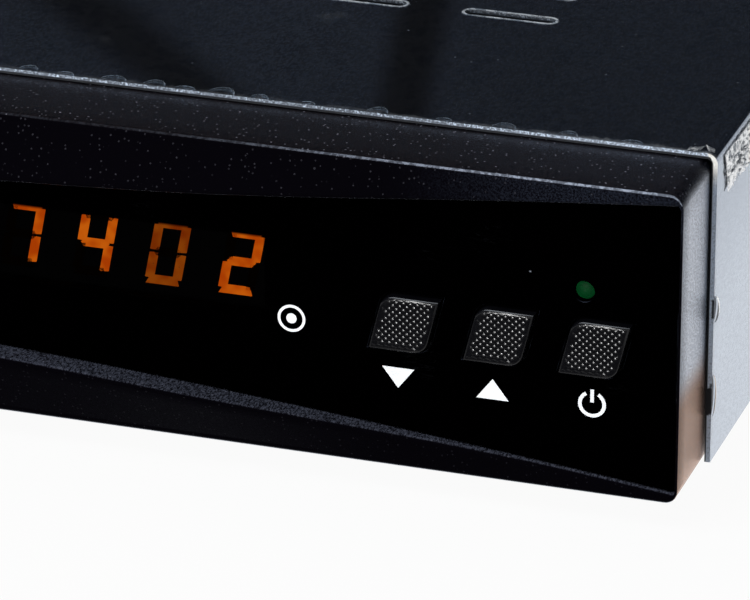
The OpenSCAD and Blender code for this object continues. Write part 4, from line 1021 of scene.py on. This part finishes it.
# %% Lamp
def lamp_green():
    f = Finish("green light pipe")
    out_x, out_z = f.axis("X") - LAMP_X, f.axis("Z") - LAMP_Z
    radius = (out_x*out_x + out_z*out_z)**0.5
    rim = radius.ramp(LAMP_R - 0.55, LAMP_R - 0.1)
    mottle = f.noise(0.7, detail=2)
    colour = f.mix((rim*0.4 + mottle*0.2), rgb(0, 50, 19), rgb(10, 88, 42))
    sockets = {"Normal": f.relief(mottle, 0.01), "Specular IOR Level": 0.05}
    return f.done(f.surface(colour, 0.5, sockets))


lamp = dressed("status_lamp", lamp_green(), 0.06)
print("lamp:", len(lamp.data.polygons), "faces")

# %% [markdown]
# ## Printed marks
#
# White marks under the buttons say what they do. They are printed on the window, so they are modelled as a
# film of paint a few hundredths of a millimetre thick, in shapes that need no words: a triangle down and a
# triangle up for the channels, a broken ring with a bar for power, and a ring with a dot by the display.

# %% Marks
PRINT_T = 0.04
MARK_Z, MARK_HALF, MARK_UP, MARK_DOWN = 13.4, 2.3, 1.6, 1.4
POWER_R, POWER_LINE, POWER_BAR = 1.7, 0.5, 1.9
EYE_MARK_X, EYE_MARK_Z, EYE_MARK_R, EYE_MARK_LINE, EYE_DOT_R = HALF_W - 54.8, 20.0, 1.8, 0.4, 0.75
ARC_STEPS = 36


def white_print():
    f = Finish("white print")
    patchy = f.noise(0.5, detail=3)
    colour = f.mix(patchy, rgb(240, 242, 246), rgb(252, 253, 254))
    return f.done(f.surface(colour, 0.55 + 0.1*patchy, {"Normal": f.relief(patchy, 0.005)}))


def arc_band(bm, x, z, radius, width, start, sweep):
    """A flat band of print along an arc: a short edge spun round the mark's centre."""
    inner = bm.verts.new((x + radius - width/2, WINDOW_BACK - PRINT_T, z))
    outer = bm.verts.new((x + radius + width/2, WINDOW_BACK - PRINT_T, z))
    edge = bm.edges.new((inner, outer))
    turn = Matrix.Rotation(-math.radians(start), 3, "Y")
    bmesh.ops.rotate(bm, verts=[inner, outer], cent=(x, 0, z), matrix=turn)
    whole = abs(sweep - 360) < 1
    bmesh.ops.spin(bm, geom=[inner, outer, edge], cent=(x, 0, z), axis=(0, -1, 0), dvec=(0, 0, 0),
                   angle=math.radians(sweep), steps=ARC_STEPS, use_merge=whole)


def print_shape(bm, points):
    bmesh.ops.contextual_create(bm, geom=draw_loop(bm, points, WINDOW_BACK - PRINT_T))


def build_mark(name, draw):
    bm = bmesh.new()
    draw(bm)
    bmesh.ops.remove_doubles(bm, verts=bm.verts, dist=WELD)
    thicken(bm, list(bm.faces), PRINT_T)
    return make_piece(bm, name, PRINT)


def draw_triangle(x, way):
    def draw(bm):
        foot = MARK_Z - MARK_DOWN*way
        print_shape(bm, [(x - MARK_HALF, foot), (x + MARK_HALF, foot), (x, MARK_Z + MARK_UP*way)])
    return draw


def draw_power(bm):
    x = BUTTON_X[2] - 0.4
    arc_band(bm, x, MARK_Z - 0.1, POWER_R, POWER_LINE, 120, 300)
    print_shape(bm, rectangle(x, MARK_Z + 1.1, POWER_LINE, POWER_BAR))


def draw_receiver(bm):
    arc_band(bm, EYE_MARK_X, EYE_MARK_Z, EYE_MARK_R, EYE_MARK_LINE, 0, 360)
    print_shape(bm, disc_outline(EYE_MARK_X, EYE_MARK_Z, EYE_DOT_R, 20))


PRINT = white_print()
marks = [build_mark("channel_down_mark", draw_triangle(BUTTON_X[0] - 1.0, -1)),
         build_mark("channel_up_mark", draw_triangle(BUTTON_X[1] - 1.0, 1)),
         build_mark("power_mark", draw_power),
         build_mark("receiver_mark", draw_receiver)]
print(len(marks), "printed marks")

# %% [markdown]
# ## Blisters and the peeled film
#
# Along the cover's front edge the film has let go in small half-round blisters, and at the right-hand corner
# it was pulled: a wrinkled white band runs back along the bend, and a frayed tip stands up over the corner.
# Blisters are flattened spheres cut off by planes. The wrinkled band is a fine grid pushed about by noise,
# because wrinkles have no simple outline.

# %% Film that has let go
from mathutils import noise as relief_noise

FILM_TOP = COVER_TOP + FILM_T
FILM_SIDE = COVER_HALF + FILM_T
SIDE_BLISTERS = [(SIDE_BUBBLE_Z, 3.8, 1.7, 0.6), (10.6, 6.2, 1.4, 0.45)]
BLISTERS = [(-112, 4.4), (-96, 3.2), (-83, 4.8), (-70, 2.8), (-60, 3.6), (-44, 5.0), (-30, 3.0), (-17, 4.2),
            (-2, 3.4), (12, 4.8), (24.6, 3.6), (32.0, 2.8), (37.6, 2.4), (44.6, 3.8), (50.6, 3.2),
            (55.2, 3.0), (60.4, 3.8), (66.0, 2.6), (73.0, 2.2), (83.0, 3.0), (92.5, 2.4), (101.0, 3.4),
            (110.0, 2.8), (119.0, 3.2)]


def loose_film():
    f = Finish("film that has let go")
    ripple = f.noise(0.9, detail=4, roughness=0.7)
    rim = f.node("Attribute", {"attribute_name": "rim"}, output="Fac")
    beside = f.axis("X").ramp(FILM_SIDE - 0.2, FILM_SIDE - 0.1)
    normal = f.relief(ripple, 0.06)
    alpha = 0.05 + 0.6*rim.ramp(0.25, 0.85)*ripple.ramp(0.25, 0.6) + 0.25*ripple.ramp(0.55, 0.75)
    alpha = alpha.most(0.85*beside).least(1)
    colour = f.mix(ripple, rgb(92, 112, 134), rgb(188, 204, 218))
    # Low on the right-hand side the film's colour and gloss tint turn warm: a painted reflection.
    low = f.axis("Z").ramp(16, 14)
    pale = f.mix(low, rgb(250, 252, 252), rgb(196, 180, 164))
    colour = f.mix(beside, colour, pale)
    clear = f.node("BsdfTransparent")
    matt = f.surface(colour, 0.25, {"Normal": normal})
    film_skin = f.glossed(matt, 0.5, 1.1*beside, 0.2, normal, pale)
    return f.done(f.node("MixShader", {}, {0: alpha, 1: clear, 2: film_skin}))


def add_rim(bm, value):
    """Stores on each vertex how near it is to where the film meets the sheet."""
    layer = bm.verts.layers.float.new("rim")
    for vert in bm.verts:
        vert[layer] = value(vert.co)


def side_blister(bm, z, width, deep, high):
    """A blister on the right-hand side, cut off at the sheet and at its front edge."""
    shape = Matrix.Translation((FILM_SIDE, COVER_FRONT, z)) @ Matrix.Diagonal((high, deep, width/2, 1))
    made = bmesh.ops.create_uvsphere(bm, u_segments=24, v_segments=12, radius=1, matrix=shape)["verts"]
    for point, normal in (((FILM_SIDE, 0, 0), (-1, 0, 0)), ((0, COVER_FRONT, 0), (0, -1, 0))):
        edges = {e for v in made if v.is_valid for e in v.link_edges}
        faces = {f for v in made if v.is_valid for f in v.link_faces}
        geom = [v for v in made if v.is_valid] + list(edges) + list(faces)
        bmesh.ops.bisect_plane(bm, geom=geom, plane_co=point, plane_no=normal, clear_outer=True)
        made = [v for v in bm.verts if v.co.x > FILM_SIDE - 0.01]


def build_blisters():
    bm = bmesh.new()
    for i, (x, width) in enumerate(BLISTERS):
        deep = width*(0.5 + 0.16*math.sin(i*2.4))
        high = 0.16 + 0.055*width
        shape = Matrix.Translation((x, COVER_FRONT, FILM_TOP)) @ Matrix.Diagonal((width/2, deep, high, 1))
        bmesh.ops.create_uvsphere(bm, u_segments=24, v_segments=12, radius=1, matrix=shape)
    for point, normal in (((0, 0, FILM_TOP), (0, 0, -1)), ((0, COVER_FRONT, 0), (0, -1, 0))):
        geom = list(bm.verts) + list(bm.edges) + list(bm.faces)
        bmesh.ops.bisect_plane(bm, geom=geom, plane_co=point, plane_no=normal, clear_outer=True)
    for blister in SIDE_BLISTERS:
        side_blister(bm, *blister)
    add_rim(bm, lambda p: 1 - min(max(p.z - FILM_TOP, p.x - FILM_SIDE)/0.3, 1))
    return make_piece(bm, "film_blisters", LOOSE_FILM, slot="clear_film")


LOOSE_FILM = loose_film()
build_blisters()
print(len(BLISTERS) + len(SIDE_BLISTERS), "blisters")

# %% Wrinkled film along the bend
WRINKLE_START, WRINKLE_END, WRINKLE_DEEP = COVER_FRONT + 1.4, COVER_FRONT + 78, 8
BEND_END = BEND_R*math.pi/2
TIP_START, TIP_END, TIP_DEEP = -3.2, 1.2, 2.4
CLEARANCE = 0.14
SWIRL_SHIFTS = (17, 31, 47)


def section_point(along, out):
    """A point over the right-hand bend: along it from the flat top, and out from the cover's face."""
    if along < 0:
        return COVER_HALF - BEND_R + along, COVER_TOP + out
    if along > BEND_END:
        return COVER_HALF + out, COVER_TOP - BEND_R - (along - BEND_END)
    angle = along/BEND_R
    reach = BEND_R + out
    return COVER_HALF - BEND_R + reach*math.sin(angle), COVER_TOP - BEND_R + reach*math.cos(angle)


def crumple(along, y):
    """Height of the wrinkles, from 0 in a valley to 1 on a sharp crest."""
    spot = Vector((along*0.95, y*0.8, 1.7))
    swirl = Vector([relief_noise.noise(spot*0.7 + Vector((0, 0, shift))) for shift in SWIRL_SHIFTS])*0.9
    broad = 1 - min(abs(relief_noise.noise(spot + swirl))*3.2, 1)
    fine = 1 - min(abs(relief_noise.noise(spot*2.3 + swirl*2))*3, 1)
    return 0.6*broad + 0.4*fine


def wrinkled_film():
    f = Finish("wrinkled film")
    fine = f.noise(0.7, detail=4, roughness=0.7)
    crest = f.node("Attribute", {"attribute_name": "crest"}, output="Fac")
    worn = f.node("Attribute", {"attribute_name": "rim"}, output="Fac")
    # white is partly the film's whitening on its crests and partly painted shade, grey in the valleys between
    # them.
    white = (0.55*crest + 0.65*fine).ramp(0.25, 0.7)
    torn = 0.5*f.noise(1.6, detail=4, roughness=0.7) + 0.6*f.noise(6, detail=3, roughness=0.6)
    ragged = (worn + torn).ramp(1.15, 1.05)
    colour = f.mix(white, rgb(118, 130, 142), rgb(252, 253, 254))
    alpha = (0.35 + 0.63*white)*ragged
    normal = f.relief(fine, 0.12)
    clear = f.node("BsdfTransparent")
    matt = f.surface(colour, 0.45, {"Normal": normal})
    film_skin = f.glossed(matt, 0.5, 1.1, 0.35, normal, colour)
    return f.done(f.node("MixShader", {}, {0: alpha, 1: clear, 2: film_skin}))


def wrinkle_point(share, down):
    """The band: share runs back along the bend, and down runs over it and down the side."""
    y = WRINKLE_START + share*(WRINKLE_END - WRINKLE_START)
    along = BEND_END - 0.5 + down*WRINKLE_DEEP
    height = crumple(along, y)
    loose = min(share*9, 1)*min((1 - share)*4, 1)*max(math.sin(math.pi*down**0.8), 0)**0.5
    x, z = section_point(along, CLEARANCE + 0.6*height*loose)
    rim = max(1 - share*20 + 0.6*down, 1.15*down**3, 1 - down*12, 1 - (1 - share)*1.5)
    return (x, y, z), height, rim


def tip_point(share, back):
    """The frayed tip that stands up like a tent where the film was torn at the corner."""
    along = TIP_START + (TIP_END - TIP_START)*share
    height = crumple(along*2.2 + 5, back*9)
    jag = relief_noise.noise(Vector((share*7, back*2, 4.1)))
    ridge = max(1 - abs(share - 0.7 + 0.1*back)*3.4, 0)
    lift = CLEARANCE + (0.16*height + 1.0*ridge**1.2*(0.8 + 0.6*jag))*(1 - back)**1.2
    x, z = section_point(along, lift)
    y = COVER_FRONT - 0.1 + TIP_DEEP*back + 0.5*jag*(1 - back)
    rim = max(1 - 4*share, 1 - 4*(1 - share), back**1.5, 0.45*(1 - back)*(1 - ridge))
    return (x, y, z), height, rim


def crumpled_sheet(name, columns, rows, place):
    """A grid of film. place gives each point its spot, how sharp its crest is and how near a rim it lies."""
    bm = bmesh.new()
    bmesh.ops.create_grid(bm, x_segments=columns, y_segments=rows, size=0.5)
    crest = bm.verts.layers.float.new("crest")
    rim = bm.verts.layers.float.new("rim")
    for vert in bm.verts:
        vert.co, vert[crest], vert[rim] = place(vert.co.x + 0.5, vert.co.y + 0.5)
    return make_piece(bm, name, wrinkled_film(), slot="clear_film")


wrinkles = crumpled_sheet("film_wrinkles", 190, 44, wrinkle_point)
tip = crumpled_sheet("film_torn_tip", 40, 20, tip_point)
print("wrinkled film:", len(wrinkles.data.polygons) + len(tip.data.polygons), "faces")

# %% [markdown]
# ## Everyday finishes
#
# The rest of the receiver is steel, plating, plastics and boards. Two recipes cover most of them. A moulded
# recipe has a soft mottle, a fine grain and a roughness that follows it. A plated recipe is metal with brush
# marks, drawn out or not, and dull patches. Boards get their own recipe, with traces under the lacquer. The
# ribbon has its strands and the coils have their turns.

# %% Recipes
def moulded(name, dark, light, roughness=0.45, grain=0.5, depth=0.02, sockets=()):
    f = Finish(name)
    fine = f.noise(grain, detail=3)
    broad = f.noise(grain*18, detail=2)
    colour = f.mix(0.6*broad + 0.4*fine, rgb(*dark), rgb(*light))
    made = {"Normal": f.relief(fine, depth)}
    made.update(sockets)
    return f.done(f.surface(colour, roughness + 0.15*fine, made))


def plated(name, dark, light, roughness=0.25, grain=0.8, stretch=(1, 8, 1)):
    f = Finish(name)
    brush = f.noise(grain, detail=3, stretch=stretch)
    stain = f.noise(12, detail=3).ramp(0.4, 0.75)
    colour = f.mix(0.6*brush + 0.4*stain, rgb(*light), rgb(*dark))
    sockets = {"Metallic": 1.0, "Normal": f.relief(brush, 0.008)}
    return f.done(f.surface(colour, roughness + 0.06*stain + 0.1*brush, sockets))


def board(name, mask, trace, under):
    f = Finish(name)
    wide = {"Vector": f.place((1, 1, 0.01)), "Scale": 1/(2.4*MM)}
    cell = f.node("TexVoronoi", {"distance": "CHEBYCHEV", "feature": "F1"}, wide)
    lines = cell.ramp(0.32, 0.36)*cell.ramp(0.46, 0.42)
    vias = f.specks(3.4, 0.10, 0.03)
    weave = f.noise(0.5, detail=2)
    colour = f.mix(lines, rgb(*mask), rgb(*trace))
    colour = f.mix(vias*0.8, colour, rgb(*under))
    height = 0.7*lines + 0.3*weave
    return f.done(f.surface(colour, 0.32 + 0.2*weave, {"Normal": f.relief(height, 0.03)}))


def ribbon():
    f = Finish("grey ribbon")
    strand = abs(f.node("Math", {"operation": "FRACT"}, {0: f.axis("X")/1.27}) - 0.5)
    grey = f.noise(0.6, detail=2)
    colour = f.mix(strand.ramp(0.5, 0.1)*0.7 + 0.3*grey, rgb(120, 122, 126), rgb(190, 192, 196))
    return f.done(f.surface(colour, 0.5, {"Normal": f.relief(strand.ramp(0.5, 0.0), 0.3)}))


def winding(name, dark, light, pitch):
    f = Finish(name)
    turns = abs(f.node("Math", {"operation": "FRACT"}, {0: f.axis("Z")/pitch}) - 0.5)
    patch = f.noise(4, detail=2)
    colour = f.mix(turns.ramp(0.5, 0.0)*0.6 + 0.4*patch, rgb(*dark), rgb(*light))
    return f.done(f.surface(colour, 0.4, {"Normal": f.relief(turns.ramp(0.5, 0.0), 0.2)}))


# %% Finishes by slot
FINISHES = {
    "tray_steel": plated("zinc-plated steel", (176, 179, 182), (198, 201, 203), 0.36, 2.0, (1, 1, 1)),
    "black_plastic": moulded("black plastic", (17, 17, 18), (31, 31, 33)),
    "board_green": board("green board", (14, 74, 38), (30, 112, 60), (190, 170, 96)),
    "board_tan": board("paper board", (158, 122, 66), (176, 142, 84), (196, 190, 176)),
    "chip_black": moulded("moulded package", (24, 24, 26), (40, 40, 43), 0.6, 0.25),
    "fin_aluminium": plated("plain aluminium", (170, 172, 176), (216, 218, 221), 0.3),
    "sleeve_blue": moulded("shrink sleeve", (20, 30, 92), (38, 52, 132), 0.3, 1.5),
    "tinplate": plated("tinned sheet", (168, 168, 164), (222, 222, 218), 0.22, 2.0, (1, 1, 1)),
    "nickel": plated("nickel plate", (176, 168, 150), (228, 222, 206), 0.16),
    "zinc_screw": plated("zinc plate", (160, 162, 168), (214, 216, 220), 0.26, 0.4, (1, 1, 1)),
    "black_screw": plated("blackened steel", (34, 34, 36), (66, 66, 70), 0.4, 0.4, (1, 1, 1)),
    "brass_post": plated("plain brass", (170, 134, 66), (222, 188, 112), 0.24, 0.5, (1, 1, 6)),
    "white_plastic": moulded("natural nylon", (206, 205, 196), (234, 233, 226), 0.42, 0.8),
    "orange_plastic": moulded("orange plastic", (206, 96, 16), (236, 128, 34), 0.34, 0.8),
    "red_plastic": moulded("red plastic", (168, 26, 20), (206, 46, 36), 0.34, 0.8),
    "yellow_plastic": moulded("yellow plastic", (214, 176, 30), (240, 206, 58), 0.34, 0.8),
    "ferrite": moulded("ferrite", (58, 58, 60), (92, 92, 96), 0.5, 0.35, 0.04),
    "winding_tape": winding("yellow tape", (190, 150, 40), (226, 190, 76), 3.0),
    "copper_wire": winding("enamelled wire", (112, 48, 20), (196, 104, 52), 0.6),
    "fuse_glass": moulded("glass tube", (190, 198, 198), (224, 230, 230), 0.08, 2.0, 0.005, {"Alpha": 0.35}),
    "ribbon_grey": ribbon(),
    "wire_red": moulded("insulated wire", (158, 22, 18), (204, 48, 38), 0.42, 0.6),
    "foot_rubber": moulded("moulded rubber", (20, 20, 20), (36, 35, 34), 0.75, 0.4, 0.03),
}
DISPLAY_BLACK = moulded("display face", (2, 2, 3), (6, 5, 6), 0.6, sockets={"Specular IOR Level": 0.1})
for slot, finish in FINISHES.items():
    nodes = [node for node, named in SLOT_OF.items() if named == slot]
    for node in nodes:
        frame["nodes"][node].data.materials.clear()
        frame["nodes"][node].data.materials.append(finish)
frame["nodes"]["display_module"].data.materials[0] = DISPLAY_BLACK
print(len(FINISHES), "everyday finishes on", sum(slot in FINISHES for slot in SLOT_OF.values()), "solids")

# %% [markdown]
# ## Screws, feet and sockets
#
# What shows from the sides and the back keeps its CAD form, but real parts have no razor edges. Dressed
# copies round them a few tenths of a millimetre, so that each catches a thin line of light.

# %% Dress what shows outside
EDGES = {"cover_screws": 0.12, "feet": 0.3, "rocker_housing": 0.3, "rocker": 0.3, "mains_inlet": 0.35,
         "aerial_nuts": 0.15, "usb_socket": 0.12, "hdmi_socket": 0.12, "digital_audio_jack": 0.2,
         "right_audio_jack": 0.2, "left_audio_jack": 0.2, "video_jack": 0.2, "jack_shells": 0.12}
for node, width in EDGES.items():
    dressed(node, FINISHES[SLOT_OF[node]], width)
print(len(EDGES), "outside pieces dressed")

# %% [markdown]
# ## Threads on the aerial connectors
#
# The two connectors at the back are threaded barrels. The CAD solid is a plain barrel, which fits, but the
# thread is what the eye knows it by. A zigzag drawn along the barrel and spun round its axis gives the
# ridges.

# %% Threaded barrels
AERIAL_LOW, AERIAL_HIGH = [corner/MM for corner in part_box("aerial_connectors")]
AERIAL_Z = (AERIAL_LOW.z + AERIAL_HIGH.z)/2 - FOOT_H
THREAD_R = (AERIAL_HIGH.z - AERIAL_LOW.z)/2
AERIAL_X = [AERIAL_HIGH.x - THREAD_R, AERIAL_LOW.x + THREAD_R]
THREAD_PITCH, THREAD_DEEP, BARREL_WALL, CORE_R = 0.8, 0.42, 1.2, 1.5


def build_threads():
    bm = bmesh.new()
    start, end = BODY_D - 2, AERIAL_HIGH.y - RIM_Y
    nut_end = BODY_D + 2
    ridges = int((end - nut_end - 0.8)/THREAD_PITCH)
    bore = THREAD_R - BARREL_WALL
    profile = [(bore, nut_end), (bore, end - 0.2), (bore + 0.2, end), (THREAD_R - 0.5, end)]
    for i in range(ridges + 1):
        y = end - 0.5 - i*THREAD_PITCH
        profile += [(THREAD_R, y + 0.12), (THREAD_R, y - 0.04), (THREAD_R - THREAD_DEEP, y - THREAD_PITCH/2)]
    profile += [(THREAD_R - 0.3, nut_end), (THREAD_R - 0.3, start), (CORE_R, start)]
    for x in AERIAL_X:
        verts = [bm.verts.new((x + r, y, AERIAL_Z)) for r, y in profile]
        edges = [bm.edges.new(pair) for pair in zip(verts, verts[1:])]
        bmesh.ops.spin(bm, geom=verts + edges, cent=(x, 0, AERIAL_Z), axis=(0, 1, 0), dvec=(0, 0, 0),
                       angle=2*math.pi, steps=40, use_merge=True)
    return make_piece(bm, "aerial_threads", FINISHES["nickel"], "case", "aerial_connectors", "nickel", 30)


threads = build_threads()
print("threads:", len(threads.data.polygons), "faces")

# %% [markdown]
# ## A white room
#
# The photograph has no room at all, only white. Here the receiver stands on a white floor that keeps its soft
# shadow. The camera sees the sky at full white and the floor almost so. Lamps light the object at a plain
# level, and what the paint mirrors is a studio: white near the horizon and beside the receiver, dark above,
# where the soft dark bands on the cover come from, and dark in front, which keeps the front black.

# %% Floor
FLOOR_SEEN = 0.95
DARK_X, DARK_Y = (HALF_W + 60, HALF_W + 10), (4, -30)


def floor_white():
    f = Finish("white floor")
    mottle = f.noise(30, detail=2)
    lit = f.surface(f.mix(mottle, rgb(196, 194, 192), rgb(204, 202, 200)), 0.9)
    camera = f.node("LightPath", output="Is Camera Ray")
    mirrored = f.node("LightPath", output="Is Glossy Ray")
    in_front = f.axis("Y").ramp(*DARK_Y)*abs(f.axis("X")).ramp(*DARK_X)
    seen = camera.most(1 - in_front)
    colour = f.mix(seen, (0.05, 0.05, 0.055, 1), WHITE)
    glow = f.node("Emission", {}, {"Color": colour, "Strength": 1.0})
    return f.done(f.node("MixShader", {}, {0: (camera*FLOOR_SEEN).most(mirrored), 1: lit, 2: glow}))


def build_floor():
    bm = bmesh.new()
    bmesh.ops.create_grid(bm, x_segments=12, y_segments=12, size=4)
    mesh = bpy.data.meshes.new("floor")
    bm.to_mesh(mesh)
    bm.free()
    mesh.materials.append(floor_white())
    floor = bpy.data.objects.new("floor", mesh)
    bpy.context.scene.collection.objects.link(floor)
    floor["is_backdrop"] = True
    return floor


floor = build_floor()
print("floor:", len(floor.data.polygons), "faces")


# %% Room
BEAMS = [((-0.3454, 0.8721, 0.3468), (-0.328, 0.8736, 0.3596), 0.0048),
         ((-0.287, 0.8928, 0.3472), (-0.2887, 0.8848, 0.3657), 0.0046)]


def beam(f, way, low, high, width):
    """1 on a dark beam of the studio that runs between two directions."""
    normal = Vector(low).cross(Vector(high)).normalized()
    across = f.node("VectorMath", {"operation": "DOT_PRODUCT"}, {0: way, 1: normal}, output="Value")
    return abs(across).ramp(width*1.6, width*0.4)


def build_room():
    world = bpy.data.worlds.new("white room")
    bpy.context.scene.world = world
    world.use_nodes = True
    f = Finish("room", world.node_tree)
    way = f.node("TexCoord", output="Generated")
    height = f.node("SeparateXYZ", {}, {0: way}, output="Z")
    depth = f.node("SeparateXYZ", {}, {0: way}, output="Y")
    patch = f.node("TexNoise", {}, {"Vector": way, "Scale": 9.0, "Detail": 2.0})
    above = height.ramp(0.02, 0.12)
    far = f.mix(patch.ramp(0.3, 0.7), (0.016, 0.019, 0.026, 1), (0.030, 0.035, 0.047, 1))
    beams = beam(f, way, *BEAMS[0]).most(beam(f, way, *BEAMS[1]))
    far = f.mix(beams, far, (0.002, 0.002, 0.003, 1))
    front = f.mix(depth.ramp(0.0, -0.5), far, (0.05, 0.055, 0.07, 1))
    mirrored = f.mix(above, (0.85, 0.87, 0.90, 1), front)
    camera = f.node("LightPath", output="Is Camera Ray")
    glossy = f.node("LightPath", output="Is Glossy Ray")
    colour = f.mix(glossy, (0.20, 0.205, 0.215, 1), mirrored)
    colour = f.mix(camera, colour, WHITE)
    f.node_out("OutputWorld", f.node("Background", {}, {"Color": colour, "Strength": 1.0}))


build_room()
print("room:", len(BEAMS), "dark beams")


# %% Lamps
AIM = Vector((0.05, -0.05, 0.02))


def area_lamp(name, spot, size, power, colour=(1, 1, 1)):
    """A soft square lamp that looks at the receiver's front."""
    lamp_data = bpy.data.lights.new(name, "AREA")
    lamp_data.shape = "RECTANGLE"
    lamp_data.size, lamp_data.size_y = size
    lamp_data.energy = power
    lamp_data.color = colour
    made = bpy.data.objects.new(name, lamp_data)
    made.location = spot
    made.rotation_euler = (AIM - Vector(spot)).to_track_quat("-Z", "Y").to_euler()
    bpy.context.scene.collection.objects.link(made)
    return made


lamps = [area_lamp("overhead", (0.1, 0.35, 1.25), (1.0, 0.7), 3.0, (1.0, 0.97, 0.94)),
         area_lamp("soft box", (-0.4, -0.63, 1.19), (0.9, 0.7), 14.5, (0.86, 0.92, 1.0)),
         area_lamp("spark", (-0.105, -1.432, 0.186), (0.2, 0.2), 10.0)]
print(len(lamps), "lamps")

# %% [markdown]
# ## The camera
#
# The camera stands above the right half of the front and looks down a little. Its lens is long, since the
# photograph shows hardly any perspective, and its place was fitted to the outline in the photograph.

# %% Camera
LENS, SENSOR = 266.73, 36
CAMERA_SPOT, CAMERA_TILT, CAMERA_TURN = (0.30442, -0.75067, 0.32679), 66.59, 18.37


def build_camera():
    data = bpy.data.cameras.new("camera")
    data.lens = LENS
    data.sensor_width = SENSOR
    camera = bpy.data.objects.new("camera", data)
    camera.location = CAMERA_SPOT
    camera.rotation_euler = (math.radians(CAMERA_TILT), 0, math.radians(CAMERA_TURN))
    bpy.context.scene.collection.objects.link(camera)
    bpy.context.scene.camera = camera


build_camera()
print("camera with a lens of", LENS, "mm")
bpy.context.scene.view_settings.view_transform = "Standard"

# %% [markdown]
# ## Measure and finish
#
# The finish and shape work must not change the object's size, so both boxes are set side by side and their
# sizes printed.

# %% Print the boxes' sizes
NEW_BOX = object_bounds()
{"cad": [list(p) for p in CAD_BOX], "visual": [list(p) for p in NEW_BOX]}
print("sides, CAD and dressed:", [round(v, 4) for v in CAD_BOX[1] - CAD_BOX[0]],
      [round(v, 4) for v in NEW_BOX[1] - NEW_BOX[0]])
